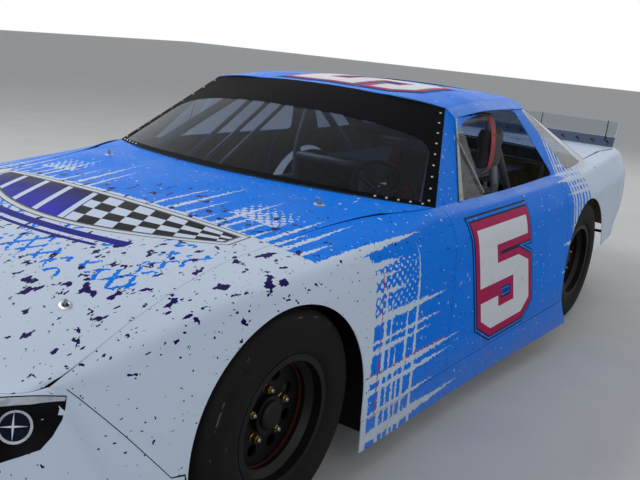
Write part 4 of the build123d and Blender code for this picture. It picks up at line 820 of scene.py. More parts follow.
def arch_places(centre, half):
    """Places over a wheel opening, closer together at its ends."""
    return [centre - half * math.cos(math.pi * i / ARCH_STEPS) for i in range(ARCH_STEPS + 1)]


def nose_edge(z):
    """Place of the nose cover's edge at a height: a straight seam up the fender's front."""
    low, high = NOSE[2], NOSE[-1]
    if z < low[0]:
        return NOSE[1][2]
    return low[2] + (high[2] - low[2]) * (z - low[0]) / (high[0] - low[0])


def nose_seam(s):
    """Height of the nose cover's edge at a place, which the fender's front end follows."""
    low, high = NOSE[2], NOSE[-1]
    if s - SEAM > NOSE[1][2]:
        return ARCH_SPRING
    share = min(1, max(0, (s - SEAM - low[2]) / (high[2] - low[2])))
    return low[0] + (high[0] - low[0]) * share


def fender_patches():
    """From the nose seam to the door, over the front wheel."""
    def lower(s):
        if s < -FRONT_ARCH:
            return nose_seam(s)
        return arch_height(s, 0, FRONT_ARCH)

    places = spread(SIDE[0][0], NOSE[2][2], 22) + [NOSE[1][2] + SEAM] + arch_places(0, FRONT_ARCH)
    places += spread(FRONT_ARCH, DOOR_FRONT - SEAM / 2, 26)[1:]
    behind = [s for s in places if s >= FRONT_ARCH]
    return [side_patch(places, None, lower, PANEL_ROWS),
            side_patch(behind, lambda s: ARCH_SPRING, skirt_seam, 5)]


def skirt_seam(s):
    """Lower edge of the door, over the skirt."""
    return ROCKER_TOP + SEAM / 2


def door_patches():
    """The door's fixed panel, from the sill to the skirt."""
    places = spread(DOOR_FRONT + SEAM / 2, DOOR_REAR - SEAM / 2, 40)
    return [side_patch(places, None, skirt_seam, 34)]


def quarter_patches():
    """From the door over the rear wheel to the tail cover."""
    def lower(s):
        height = arch_height(s, REAR_ARCH_PLACE, REAR_ARCH)
        return max(height, QUARTER_BOTTOM) if s > REAR_ARCH_PLACE else height

    places = [DOOR_REAR + SEAM / 2] + arch_places(REAR_ARCH_PLACE, REAR_ARCH)
    places += spread(REAR_ARCH_PLACE + REAR_ARCH, TAIL[0][2] - SEAM / 2, 18)[1:]
    return [side_patch(places, None, lower, PANEL_ROWS)]


def rocker_patches():
    """The skirt under the door, which flares out towards the rear wheel."""
    start, end = FRONT_ARCH + 2, REAR_ARCH_PLACE - REAR_ARCH - 2
    grid = []
    for s in spread(start, end, 48):
        share = (s - start) / (end - start)
        flare = ROCKER_FLARE * flow(((0, 0.1), (0.4, 0.25), (1, 1)), share)[1]
        low_x = flow(SIDE, s)[8]
        grid.append([spot(low_x + flare * (0.8 * t + 0.2 * t * t), s,
                          ROCKER_TOP - SEAM / 2 - t * (ROCKER_TOP - GROUND_GAP))
                     for t in spread(0, 0.985, 6)])
    return [grid]


def cover_outline(table, z):
    """Half the outline of the nose or tail cover at a height, from its edge to its tip."""
    _, edge_x, edge_s, side_x_, side_s, face_x, face_s, tip = flow(table, z)
    if table is NOSE:
        edge_s = nose_edge(z)
    run = Vector((side_x_ - edge_x, side_s - edge_s))
    out = Vector((abs(run.y), -run.x * math.copysign(1, run.y)))
    points = []
    for t in spread(0, 1, 8)[:-1]:
        x, s = Vector((edge_x, edge_s)) + run * t + out * 0.08 * t * (1 - t)
        if table is NOSE:
            x += (side_x(s, max(z, ROCKER_TOP)) - x) * (1 - t)
        points.append((x, s))
    for turn in spread(0, math.pi / 2, 16)[:-1]:
        points.append((face_x + (side_x_ - face_x) * math.cos(turn),
                       side_s + (face_s - side_s) * math.sin(turn)))
    arc = circle_through(tip, face_s, face_x)
    for x in spread(face_x, GRILLE[0], 8)[:-1] + spread(GRILLE[0], 0, 10):
        points.append((x, arc(x)))
    return points


def cover_row(table, z, inward=0, drop_by=0):
    """A whole level of a cover, from the left edge over the tip to the right edge."""
    half = cover_outline(table, z)
    if inward:
        moved = []
        for i, (x, s) in enumerate(half):
            a, b = Vector(half[max(i - 1, 0)]), Vector(half[min(i + 1, len(half) - 1)])
            along = (b - a).normalized()
            normal = Vector((along.y, -along.x))
            if normal.x > 0 or (i > FACE_START and normal.y * half[-1][1] > 0):
                normal = -normal
            moved.append((max(x + normal.x * inward, 0), s + normal.y * inward))
        half = moved
    left = [spot(x, s, z - drop_by) for x, s in half]
    return left + [mirrored(p) for p in left[-2::-1]]


def nose_patches():
    """The nose cover's skin and the lip round its top, which the hood's front edge meets."""
    levels = spread(NOSE[0][0], GRILLE[1], 4)[:-1] + spread(GRILLE[1], GRILLE[2], 4)[:-1]
    crease, waist, top = (NOSE[i][0] for i in (2, 4, 5))
    levels += [GRILLE[2], 318, 325, crease] + spread(345, waist, 12) + [572, 586, 596, top]
    rows = [cover_row(NOSE, z) for z in levels]
    lip = [rows[-1], cover_row(NOSE, top, 4, -1), cover_row(NOSE, top, 8, 0)]
    return [rows, lip]


def tail_patches():
    """The tail cover's skin and the narrow ledge behind the deck lid."""
    low, waist, upper, shoulder, top = (row[0] for row in TAIL)
    levels = spread(low, waist, 10)[:-1] + spread(waist, upper, 8)[:-1]
    levels += spread(upper, shoulder, 10)[:-1] + [shoulder, 870, 880, top]
    rows = [cover_row(TAIL, z) for z in levels]
    ledge = LID_REAR + LID_GAP
    edge = [p for p in rows[-1] if p.y > (ledge + LEDGE_LEAST - AXLE) / 1000]
    inner = [Vector((p.x, (ledge - AXLE) / 1000, p.z)) for p in edge]
    return [rows, [edge, inner]]


def crown(table, x, s):
    """Height of a top at a point: highest in the middle, lowest at its edge."""
    _, half, edge, centre = flow(table, s)
    return edge + (centre - edge) * (1 - min(1, abs(x) / half) ** 2)


def hood_front(x):
    """The hood's front edge, inside the nose cover's lip."""
    _, _, _, side, side_s, face, face_s, tip = NOSE[-1]
    x = abs(x)
    if x <= face:
        return circle_through(tip + HOOD_GAP, face_s + HOOD_GAP, face)(x)
    share = min(1, (x - face) / (side - face - HOOD_GAP))
    return side_s - (side_s - face_s - HOOD_GAP) * math.sqrt(1 - share * share)


def hood_height(x, s):
    """Height of the hood, which rises to the nose cover's top near its front edge."""
    front = hood_front(x)
    rise = NOSE[-1][0] - crown(HOOD, x, front)
    near = max(0, 1 - (s - front) / HOOD_RISE)
    return crown(HOOD, x, s) + rise * near * near


def hood_point(x, s):
    """A point on top of the hood."""
    return spot(x, s, hood_height(x, s))


def hood_side_gap(s):
    """Gap between the hood and the fender, which widens to the rear and closes at the cowl."""
    start, end, width, close = CORNER_GAP
    if s > end:
        return HOOD_SIDE_GAP + width * max(0, 1 - (s - end) / close)
    return HOOD_SIDE_GAP + width * max(0, (s - start) / (end - start)) ** 1.5


def hood_patches():
    """The hood's skin, in rows that run from its front edge to the cowl."""
    rear_half, front_half = HOOD[-1][1], NOSE[-1][3] - HOOD_GAP
    cowl = circle_through(SCREEN_FOOT[0] - COWL_GAP, SCREEN[0] - COWL_GAP, rear_half)
    grid = []
    for i in range(-HOOD_STEPS, HOOD_STEPS + 1):
        k = math.sin(math.pi / 2 * i / HOOD_STEPS)
        start, end = hood_front(k * front_half), cowl(k * rear_half)
        row = []
        for t in spread(0, 1, 56):
            s = start + (end - start) * (t + 0.12 * t * (t - 1))
            near = min(1, max(0, (s - SIDE[0][0]) / 26))
            half = front_half * (1 - near) + (flow(HOOD, s)[1] - hood_side_gap(s)) * near
            row.append(hood_point(k * half, s))
        grid.append(row)
    return [grid]


def roof_section(s):
    """Half of the roof's section at a place, as a path."""
    row = flow(ROOF, s)
    return curve_rows([(row[i], row[i + 1]) for i in (1, 3, 5, 7)])


def roof_height(x, s):
    """Height of the roof at a half-width and place."""
    section = roof_section(s)
    low, high = 0, section[-1][0]
    for _ in range(20):
        middle = (low + high) / 2
        if flow(section, middle)[1] < abs(x):
            low = middle
        else:
            high = middle
    return flow(section, low)[2]


def roof_patches():
    """The roof between its curved front and rear edges."""
    front, rear = circle_through(*ROOF_FRONT), circle_through(*ROOF_REAR)
    grid = []
    for k in spread(-1, 1, 56):
        start, end = front(ROOF_FRONT[2] * k), rear(ROOF_REAR[2] * k)
        row = []
        for s in spread(start, end, 36):
            section = roof_section(s)
            _, x, z = flow(section, abs(k) * section[-1][0])
            row.append(spot(math.copysign(x, k), s, z))
        grid.append(row)
    return [grid]


def post_patch(foot_front, foot_rear, head_front, head_rear):
    """A post's outer face: its foot lies on the sill and its head on the roof's edge."""
    grid = []
    for w in spread(0, 1, 6):
        s = foot_front + (foot_rear - foot_front) * w
        head = spot(*head_front).lerp(spot(*head_rear), w)
        grid.append([on_sill(s).lerp(head, t) for t in spread(0, 1, 16)])
    return grid


def corner_fill(corner, a, b):
    """A window opening's corner, filled up to a curve from a to b past the corner."""
    curve = [corner + a * (1 - t) ** 2 + b * t * t for t in spread(0, 1, 10)]
    return [[corner] * len(curve), curve]


def window_point(u, v, corner, centre, head_corner, head_centre, bulge):
    """A point on the windshield or rear window: u is -1 to 1 across, v is 0 to 1 upwards."""
    _, foot_half, foot_low = flow(SIDE, corner)[:3]
    head_half, head_s, head_low = head_corner
    foot_s = circle_through(centre[0], corner, foot_half)(u * foot_half)
    top_s = circle_through(head_centre[0], head_s, head_half)(u * head_half)
    flat = 1 - u * u
    foot = spot(u * foot_half, foot_s, foot_low + (centre[1] - foot_low) * flat)
    head = spot(u * head_half, top_s, head_low + (head_centre[1] - head_low) * flat)
    out = Vector((0, -1 if head_s > corner else 1, 1)).normalized()
    return foot.lerp(head, v) + out * bulge / 1000 * 4 * v * (1 - v) * flat


def screen_patch(window, us, vs, lift=0.0):
    """Rows of a window's points, lifted off it by metres towards the outside."""
    rows = []
    for u in us:
        row = []
        for v in vs:
            place = window(u, v)
            step_u = window(min(u + 0.01, 1), v) - window(max(u - 0.01, -1), v)
            step_v = window(u, min(v + 0.01, 1)) - window(u, max(v - 0.01, 0))
            normal = step_u.cross(step_v).normalized()
            if normal.z < 0:
                normal = -normal
            row.append(place + normal * lift)
        rows.append(row)
    return rows


def windshield_point(u, v):
    """A point on the windshield."""
    return window_point(u, v, SCREEN[0], SCREEN_FOOT, SCREEN[1:], SCREEN_HEAD, 14)


def rear_window_point(u, v):
    """A point on the rear window."""
    return window_point(u, v, PILLAR[0], REAR_FOOT, PILLAR[1:], REAR_HEAD, 10)


def decal(name, outline, surface, lift, inside):
    """A thin vinyl shape laid on a surface, which turns flat (u, v) metres to a place."""
    bm = bmesh.new()
    bm.faces.new([bm.verts.new((u, v, 0)) for u, v in outline])
    bmesh.ops.triangulate(bm, faces=bm.faces[:])
    for axis in (0, 1):
        low = min(p[axis] for p in outline)
        high = max(p[axis] for p in outline)
        normal = (1, 0, 0) if axis == 0 else (0, 1, 0)
        for k in range(1, math.ceil((high - low) / DECAL_STEP)):
            co = tuple(n * (low + k * DECAL_STEP) for n in normal)
            bmesh.ops.bisect_plane(bm, geom=bm.verts[:] + bm.edges[:] + bm.faces[:],
                                   plane_co=co, plane_no=normal, dist=1e-6)
    for vert in bm.verts:
        u, v = vert.co.x, vert.co.y
        place = surface(u, v)
        normal = (surface(u + 0.002, v) - place).cross(surface(u, v + 0.002) - place).normalized()
        if (place - inside).dot(normal) < 0:
            normal = -normal
        vert.co = place + normal * lift
    bm.normal_update()
    face_away(bm, inside)
    mesh = bpy.data.meshes.new(name)
    bm.to_mesh(mesh)
    bm.free()
    return new_object(name, mesh)


def grown(outline, amount):
    """An outline moved outwards by an amount, with its corners kept."""
    area = sum(a[0] * b[1] - b[0] * a[1] for a, b in zip(outline, outline[1:] + outline[:1]))
    sign = 1 if area > 0 else -1
    moved = []
    count = len(outline)
    for i in range(count):
        before = Vector(outline[i]) - Vector(outline[i - 1])
        after = Vector(outline[(i + 1) % count]) - Vector(outline[i])
        n1 = Vector((before.y, -before.x)).normalized() * sign
        n2 = Vector((after.y, -after.x)).normalized() * sign
        bisector = n1 + n2
        moved.append(tuple(Vector(outline[i]) + bisector * amount / (1 + n1.dot(n2))))
    return moved


def raw_composite(name):
    """The unpainted back of a glass-fibre panel: tan resin with darker strands and no gloss."""
    material, tree, shader = start_material(name, "#7D6F54", 0.7, Specular_IOR_Level=0.2)
    place = add(tree, "TexCoord").outputs["Object"]
    strands = add(tree, "TexVoronoi", {"Vector": place, "Scale": 160.0}, feature="F2")
    cloud = add(tree, "TexNoise", {"Vector": place, "Scale": 12.0, "Detail": 6.0})
    share = add(tree, "Math", {0: strands.outputs["Distance"], 1: cloud}, operation="MULTIPLY")
    share = add(tree, "MapRange", {"Value": share, "From Min": 0.1, "From Max": 0.6})
    colour = add(tree, "Mix", {"Factor": share, "A": linear("#54482F"), "B": linear("#8E8163")},
                 data_type="RGBA")
    bump = add(tree, "Bump", {"Strength": 0.3, "Distance": 0.0006,
                              "Height": strands.outputs["Distance"]})
    link_looks(tree, shader, Base_Color=colour, Normal=bump)
    return material


def polycarbonate(name, tint):
    """Clear polycarbonate sheet: its tint darkens what lies behind it a little, with soft wiping
    marks in its shine. The blue-grey tint of the windshield and rear window is painted shade of
    the cabin behind them."""
    material, tree, shader = start_material(name, tint, 0.03, IOR=1.16, Transmission_Weight=1.0)
    place = add(tree, "TexCoord").outputs["Object"]
    stretched = add(tree, "Mapping", {"Vector": place, "Scale": (1, 6, 6)})
    wiped = add(tree, "TexNoise", {"Vector": stretched, "Scale": 5.0, "Detail": 8.0})
    gloss = add(tree, "MapRange", {"Value": wiped, "From Min": 0.45, "From Max": 0.75,
                                   "To Min": 0.02, "To Max": 0.07})
    link_looks(tree, shader, Roughness=gloss)
    return material


def slick_rubber(name):
    """Tread rubber of a slick: matt near-black, brown where it has run, with moulded rings on
    the sidewall and a pale scuffed line at the shoulder."""
    material, tree, shader = start_material(name, "#121213", 0.75, Specular_IOR_Level=0.12)
    coordinates = add(tree, "TexCoord")
    place = coordinates.outputs["Object"]
    radius = add(tree, "SeparateXYZ", {0: coordinates.outputs["UV"]}).outputs["Y"]
    grime = add(tree, "TexNoise", {"Vector": place, "Scale": 24.0, "Detail": 8.0,
                                   "Roughness": 0.7})
    tread = add(tree, "MapRange", {"Value": radius, "From Min": 0.325, "From Max": 0.338})
    shade = add(tree, "Mix", {"Factor": grime, "A": linear("#0B0B0C"), "B": linear("#1D1C1C")},
                data_type="RGBA")
    run_in = add(tree, "Mix", {"Factor": grime, "A": linear("#131212"), "B": linear("#282422")},
                 data_type="RGBA")
    colour = add(tree, "Mix", {"Factor": tread, "A": shade, "B": run_in}, data_type="RGBA")
    for middle, half, limit, tone in ((0.3205, 0.0022, 0.56, "#57524A"),
                                      (0.265, 0.022, 0.64, "#3A3228")):
        line = add(tree, "Math", {0: radius, 1: middle, 2: half}, operation="COMPARE")
        scuff = add(tree, "Math", {0: grime, 1: limit}, operation="GREATER_THAN")
        line = add(tree, "Math", {0: line, 1: scuff}, operation="MULTIPLY")
        colour = add(tree, "Mix", {"Factor": line, "A": colour, "B": linear(tone)},
                     data_type="RGBA")
    ring = add(tree, "Math", {0: radius, 1: 0.0075}, operation="PINGPONG")
    ring = add(tree, "Math", {0: ring, 1: 0.0012}, operation="LESS_THAN")
    wall = add(tree, "Math", {0: tread, 1: 0.5}, operation="LESS_THAN")
    ring = add(tree, "Math", {0: ring, 1: wall}, operation="MULTIPLY")
    fine = add(tree, "TexNoise", {"Vector": place, "Scale": 400.0, "Detail": 2.0})
    height = add(tree, "Math", {0: fine, 1: 0.35, 2: ring}, operation="MULTIPLY_ADD")
    bump = add(tree, "Bump", {"Strength": 0.35, "Distance": 0.0008, "Height": height})
    link_looks(tree, shader, Base_Color=colour, Normal=bump)
    return material


def woven(name, warp_hex, weft_hex, pitch, roughness=0.85, sheen=0.3):
    """Woven cloth: two thread colours crossing at the pitch in millimetres, drawn a little
    coarser than the real thread so that it shows."""
    material, tree, shader = start_material(name, warp_hex, roughness, Sheen_Weight=sheen)
    place = add(tree, "TexCoord").outputs["Object"]
    axes = add(tree, "SeparateXYZ", {0: place})
    up = add(tree, "Math", {0: axes.outputs["Z"], 1: axes.outputs["Y"]}, operation="ADD")
    over = add(tree, "Math", {0: axes.outputs["X"], 1: pitch / 1000}, operation="PINGPONG")
    under = add(tree, "Math", {0: up, 1: pitch / 1000}, operation="PINGPONG")
    cross = add(tree, "Math", {0: over, 1: under}, operation="GREATER_THAN")
    fuzz = add(tree, "TexNoise", {"Vector": place, "Scale": 90.0, "Detail": 6.0})
    share = add(tree, "Math", {0: cross, 1: fuzz}, operation="MULTIPLY")
    colour = add(tree, "Mix", {"Factor": share, "A": linear(warp_hex), "B": linear(weft_hex)},
                 data_type="RGBA")
    high = add(tree, "Math", {0: over, 1: under}, operation="MAXIMUM")
    bump = add(tree, "Bump", {"Strength": 0.5, "Distance": pitch / 2500, "Height": high})
    link_looks(tree, shader, Base_Color=colour, Normal=bump)
    return material


# What each finish is, and what that gives the eye: the function that makes it, its values in
# that function's order and its further settings.
FINISHES = {
    "vinyl_wrap": (livery, {}),
    "vinyl_wrap_hood": (livery, {"badge": True}),
    # Clear coat over plain vinyl: even colour, sharp highlights, a little dust.
    "white_vinyl": (worn, "#E2E5EB", "#C9CCD2", 0.4, 2, 120, 0.05, 0.62,
                    {"Specular_IOR_Level": 0.2}),
    "magenta_vinyl": (worn, "#B41457", "#9C124C", 0.4, 2, 120, 0.05, 0.6,
                      {"Specular_IOR_Level": 0.05}),
    "navy_vinyl": (worn, "#0C1226", "#10182F", 0.4, 2, 120, 0.05, 0.6,
                   {"Specular_IOR_Level": 0.05}),
    "black_vinyl": (worn, "#04050A", "#0B0D14", 0.3, 2, 120, 0.05, 0.6,
                    {"Specular_IOR_Level": 0.04}),
    "silver_vinyl": (worn, "#9AA0AA", "#7F8590", 0.35, 2, 60, 0.05, 0.5, {"Metallic": 0.5}),
    "raw_composite": (raw_composite, {}),
    # Blue-grey tint of the windshield and rear window: painted shade of the cabin seen through
    # them.
    "smoked_polycarbonate": (polycarbonate, "#8695B0", {}),
    "clear_polycarbonate": (polycarbonate, "#DDE3E8", {}),
    # Enamel printed round a window's edge: deep black with a soft gloss.
    "window_band_enamel": (worn, "#030407", "#07080C", 0.5, 3, 200, 0.05, 0.6,
                           {"Specular_IOR_Level": 0.03}),
    "slick_rubber": (slick_rubber, {}),
    # Enamelled pressed steel: black, chipped to primer, dulled by brake dust.
    "enamelled_wheel_steel": (worn, "#08080A", "#1E1813", 0.5, 3, 40, 0.2, 0.6,
                              {"Specular_IOR_Level": 0.2}),
    "red_enamel": (worn, "#5A2118", "#2E1511", 0.5, 3, 20, 0.15, 0.5, {"Specular_IOR_Level": 0.2}),
    # Gold-coloured zinc plating on lug nuts: bright metal with darker patches.
    "gold_zinc": (worn, "#86692F", "#4A3918", 0.38, 2, 12, 0.15, 0.5, {"Metallic": 1.0}),
    "zinc_plate": (worn, "#9A9DA1", "#6F7173", 0.35, 2, 15, 0.1, 0.55, {"Metallic": 1.0}),
    # Powder coat on welded tube: semi-gloss with an orange-peel skin.
    "cage_powder_coat": (worn, "#7C828C", "#5E636B", 0.38, 4, 120, 0.2, 0.62, {}),
    "frame_powder_coat": (worn, "#15171A", "#30261D", 0.5, 4, 70, 0.2, 0.6,
                          {"Specular_IOR_Level": 0.2}),
    "arm_powder_coat": (worn, "#0E0F10", "#2A241D", 0.55, 4, 40, 0.2, 0.58,
                        {"Specular_IOR_Level": 0.2}),
    # Sheet aluminium as rolled: grey metal, scuffed and dulled by dust.
    "sheet_aluminium": (worn, "#7E8286", "#5A5C5E", 0.5, 3, 60, 0.15, 0.52, {"Metallic": 0.9}),
    # Aluminium of the inner panels, darkened to a deep grey as painted shade inside the cabin,
    # with scuffed patches.
    "dusty_aluminium": (worn, "#3A3D40", "#2A2A29", 0.6, 3, 60, 0.15, 0.52, {"Metallic": 0.6}),
    "cast_aluminium": (worn, "#8B8C8C", "#5F5E5A", 0.5, 2, 30, 0.4, 0.52, {"Metallic": 0.8}),
    "cast_iron": (worn, "#3B3835", "#5A3A22", 0.65, 3, 25, 0.5, 0.52, {"Metallic": 0.4}),
    "engine_enamel": (worn, "#4A4D52", "#2A2724", 0.45, 3, 60, 0.3, 0.52, {}),
    "spring_enamel": (worn, "#A6A9AE", "#6C6A66", 0.4, 3, 20, 0.15, 0.55, {}),
    "black_abs": (worn, "#0D0E0F", "#18191A", 0.6, 4, 50, 0.1, 0.6, {"Specular_IOR_Level": 0.2}),
    "wheel_suede": (worn, "#131315", "#26262A", 0.92, 1, 20, 0.4, 0.5, {"Sheen_Weight": 0.5}),
    "grey_anodised": (worn, "#39485E", "#2B3543", 0.38, 2, 60, 0.1, 0.58, {"Metallic": 0.6}),
    "charcoal_cloth": (woven, "#1B1C1F", "#37383D", 2.5, {}),
    "red_cloth": (woven, "#8E1016", "#B8242A", 2.5, {}),
    "red_webbing": (woven, "#9C0F18", "#C22A30", 3.0, 0.7, {}),
    "black_webbing": (woven, "#101013", "#26262A", 3.0, 0.7, {}),
}

# The finish of each CAD node that stays in view.
NODE_FINISHES = {
    "deck_lid": "vinyl_wrap", "hood_pins": "zinc_plate", "deck_hinges": "zinc_plate",
    "spoiler_base": "grey_anodised", "spoiler_blade": "clear_polycarbonate",
    "frame_rails": "frame_powder_coat", "roll_cage": "cage_powder_coat",
    # The inner panels take a grey darkened as painted shade of the cabin.
    "interior_panels": "dusty_aluminium", "front_arms": "arm_powder_coat",
    "left_knuckle": "cast_iron", "right_knuckle": "cast_iron", "coil_springs": "spring_enamel",
    "rear_axle": "arm_powder_coat", "steering_rack": "cast_aluminium",
    "track_rod": "zinc_plate", "steering_column": "arm_powder_coat",
    "steering_wheel": "wheel_suede", "dashboard": "black_abs", "driver_seat": "sheet_aluminium",
    "engine_block": "engine_enamel", "radiator": "cast_aluminium", "fuel_cell": "black_abs",
    "left_front_wheel": "enamelled_wheel_steel", "right_front_wheel": "enamelled_wheel_steel",
    "left_rear_wheel": "enamelled_wheel_steel", "right_rear_wheel": "enamelled_wheel_steel",
}


def finish(name):
    """The material of a finish, which is made at its first use."""
    make, *values, settings = FINISHES[name]
    return bpy.data.materials.get(name) or make(name, *values, **settings)


def side_skins(part, patches, node):
    """A panel's skin on the left and its mirror image on the right."""
    edge = patches[0][0]
    inside = Vector((0, sum(p.y for p in edge) / len(edge), 0.45))
    left = sheet(f"left_{part}_skin", patches, inside, finishes=BODY_FINISHES)
    right = mirror_copy(left, f"right_{part}_skin")
    for side, skin in (("left", left), ("right", right)):
        finish_piece(skin, None, "chassis", (f"{side}_{node}",))


def make_wheel_well_shade_liners():
    """Black sheets behind the front wheels, lipped along the body's side: inner wheel-well panels,
    whose black is also painted shade inside the arches.
    """
    s = FRONT_ARCH + LINER_GAP
    grid = []
    for z in spread(LINER_BOTTOM, LINER_TOP, 14):
        edge = side_x(s, max(z, ROCKER_TOP)) - LINER_IN
        grid.append([spot(edge, s + LINER_LIP, z)]
                    + [spot(x, s, z) for x in spread(edge, LINER_INNER, 6)])
    left = sheet("wheel_well_shade_liners", [grid], Vector((0.5, 0, 0.4)), wall=2)
    # Near-black, partly the liners' own colour and partly painted shade in the wheel arches.
    both_sides("wheel_well_shade_liners", left, finish("arm_powder_coat"))


def make_rockers():
    """The flared skirts under the doors."""
    left = sheet("rocker_skins", rocker_patches(), Vector((0, 0, 0.15)),
                 finishes=BODY_FINISHES)
    both_sides("rocker_skins", left, None, ("rocker_panels",))


def in_grille(place):
    """Whether a place on the nose lies in the grille's opening."""
    x, z = abs(place.x) * 1000, place.z * 1000
    return x < GRILLE[0] and GRILLE[1] < z < GRILLE[2]


def make_nose():
    """The nose cover with its grille opening, and the grille's wire."""
    skin = sheet("nose_skin", nose_patches(), Vector((0, -1.9, 0.3)), hole=in_grille,
                 finishes=BODY_FINISHES)
    finish_piece(skin, None, "chassis", ("nose_cover",))
    half, low, high = GRILLE
    rows = []
    arc = circle_through(*GRILLE_ARC)
    for z in spread(low - GRILLE_PAST, high + GRILLE_PAST, 10):
        rows.append([spot(x, arc(abs(x)) + GRILLE_BACK, z)
                     for x in spread(-half - GRILLE_PAST, half + GRILLE_PAST, 48)])
    wire = sheet("grille_wire", [rows], Vector((0, -1.0, 0.3)), wall=0)
    modify(wire, "WIREFRAME", thickness=0.0028, use_replace=True, use_even_offset=False)
    apply_all(wire)
    finish_piece(wire, finish("arm_powder_coat"), "chassis")


def make_tail():
    """The tail cover's skin."""
    skin = sheet("tail_skin", tail_patches(), Vector((0, 2.1, 0.6)),
                 finishes=BODY_FINISHES)
    finish_piece(skin, None, "chassis", ("rear_bumper_cover",))


def make_hood():
    """The hood's skin with its pin plates and holes, which lifts off with the hood."""
    hood = sheet("hood_skin", hood_patches(), Vector((0, -1.4, 0.3)),
                 finishes=("vinyl_wrap_hood", "raw_composite"))
    plate = turned("plate_shape", PLATE_PROFILE, 28)
    plate.data.transform(Matrix.Diagonal((0.9, 0.9, 1.25, 1)))
    cutters, plates = [], []
    for x, s in PIN_PLACES:
        ahead = hood_point(x, s + 10) - hood_point(x, s - 10)
        aside = hood_point(x + 10, s) - hood_point(x - 10, s)
        place = Matrix.Translation(hood_point(x, s)) @ turn_to(aside.cross(ahead).normalized())
        plates.append(copy_at(plate, f"pin_plate_{len(plates)}", place))
        select_only(hood)
        bpy.ops.mesh.primitive_cylinder_add(vertices=24, radius=PIN_HOLE, depth=0.06,
                                            location=hood_point(x, s))
        cutters.append(bpy.context.object)
    drop(plate)
    cutter = join("pin_holes", cutters)
    modify(hood, "BOOLEAN", object=cutter, operation="DIFFERENCE", solver="EXACT")
    apply_all(hood)
    drop(cutter)
    finish_piece(hood, None, "hood", ("hood",))
    finish_piece(join("hood_pin_plates", plates), finish("zinc_plate"), "hood",
                 angle=30)


def make_roof():
    """The roof's skin."""
    skin = sheet("roof_skin", roof_patches(), Vector((0, 0.3, 0.9)),
                 finishes=BODY_FINISHES)
    finish_piece(skin, None, "chassis", ("roof_panel",))


def make_posts():
    """Windshield posts, sail posts and thin rear posts, with rounded window corners."""
    front, rear = spot(*WINDOW_FRONT[1:]), spot(*WINDOW_REAR[1:])
    front_foot, rear_foot = on_sill(WINDOW_FRONT[0]), on_sill(WINDOW_REAR[0])
    posts = [
        post_patch(SCREEN[0], WINDOW_FRONT[0], SCREEN[1:], WINDOW_FRONT[1:]),
        post_patch(WINDOW_REAR[0], QUARTER_FRONT[0], WINDOW_REAR[1:], QUARTER_FRONT[1:]),
        corner_fill(front, (front_foot - front) * 0.32, (rear - front) * 0.45),
        corner_fill(rear, (front - rear) * 0.09, (rear_foot - rear) * 0.14),
        corner_fill(rear_foot, (rear - rear_foot) * 0.10, (front_foot - rear_foot) * 0.04),
    ]
    pale = [post_patch(QUARTER_REAR[0], PILLAR[0], QUARTER_REAR[1:], PILLAR[1:])]
    for name, group, outer, nodes in (("post_skins", posts, "vinyl_wrap", ("window_posts",)),
                                      ("rear_post_skins", pale, "white_vinyl", ())):
        left = sheet(name, group, CABIN, finishes=(outer, "raw_composite"))
        both_sides(name, left, None, nodes)


def make_windows():
    """The windshield and rear window, tinted dark as painted shade of the cabin behind them, and
    the clear vent wings and quarter windows.
    """
    for name, window, node in (("windshield_sheet", windshield_point, "windshield"),
                               ("rear_window_sheet", rear_window_point, "rear_window")):
        rows = screen_patch(window, spread(-1, 1, 48), spread(0, 1, 24))
        glass = sheet(name, [rows], CABIN_MIDDLE, wall=4, finishes=("smoked_polycarbonate",))
        finish_piece(glass, None, "chassis", (node,))
    patches = [post_patch(WINDOW_FRONT[0], VENT_REAR[0], WINDOW_FRONT[1:], VENT_REAR[1:]),
               post_patch(QUARTER_FRONT[0], QUARTER_REAR[0], QUARTER_FRONT[1:],
                          QUARTER_REAR[1:])]
    left = sheet("side_window_sheets", patches, CABIN, finishes=("clear_polycarbonate",))
    both_sides("side_window_sheets", left, None, ("side_windows",))
    make_vent_frames()


def make_vent_frames():
    """The aluminium strip up the front of each vent wing, its brace and the quarter's rivets."""
    post, half, head_s, head_z = WINDOW_FRONT
    start, end, head_end = VENT_STRIP
    strip = post_patch(post + start, post + end, (half, head_s, head_z),
                       (half, head_s + head_end, head_z))
    strip = sheet("vent_strip", [strip], CABIN, wall=2)
    strip.data.transform(Matrix.Translation(STRIP_OFF))
    head = spot(half, head_s, head_z).lerp(on_sill(post), 0.25)
    foot = spot(*VENT_REAR[1:]).lerp(on_sill(VENT_REAR[0]), 0.97)
    brace = pipe("vent_brace", [head, head.lerp(foot, 0.5), foot], 3)
    brace.data.transform(Matrix.Translation(BRACE_OFF))
    both_sides("vent_frames", join("vent_frames", [strip, brace]), finish("sheet_aluminium"))
    places = []
    way = Vector((1, 0, 0.5)).normalized()
    for s in spread(QUARTER_FRONT[0] + 25, QUARTER_REAR[0] - 25, 7):
        place = on_sill(s) + Vector((-0.004, 0, 0.012))
        places += [(place, way), (mirrored(place), mirrored(way))]
    finish_piece(domes("quarter_rivets", places, 3.5), finish("zinc_plate"), "chassis")


def make_seam_rivets():
    """Painted rivets beside the door's front seam and along the skirt."""
    columns = (DOOR_FRONT - SEAM_RIVETS_OFF, DOOR_FRONT + SEAM_RIVETS_OFF)
    spots = [(s, z) for s in columns for z in spread(*SEAM_RIVETS)]
    spots += [(s, ROCKER_TOP + SKIRT_RIVETS_UP) for s in spread(*SKIRT_RIVETS)]
    places = []
    for s, z in spots:
        place = spot(side_x(s, z), s, z)
        way = (spot(side_x(s, z + 5), s, z + 5) - place).cross(
            spot(side_x(s + 5, z), s + 5, z) - place).normalized()
        way = way if way.x > 0 else -way
        places += [(place, way), (mirrored(place), mirrored(way))]
    finish_piece(domes("seam_rivets", places, 3.0), finish("vinyl_wrap"), "chassis")


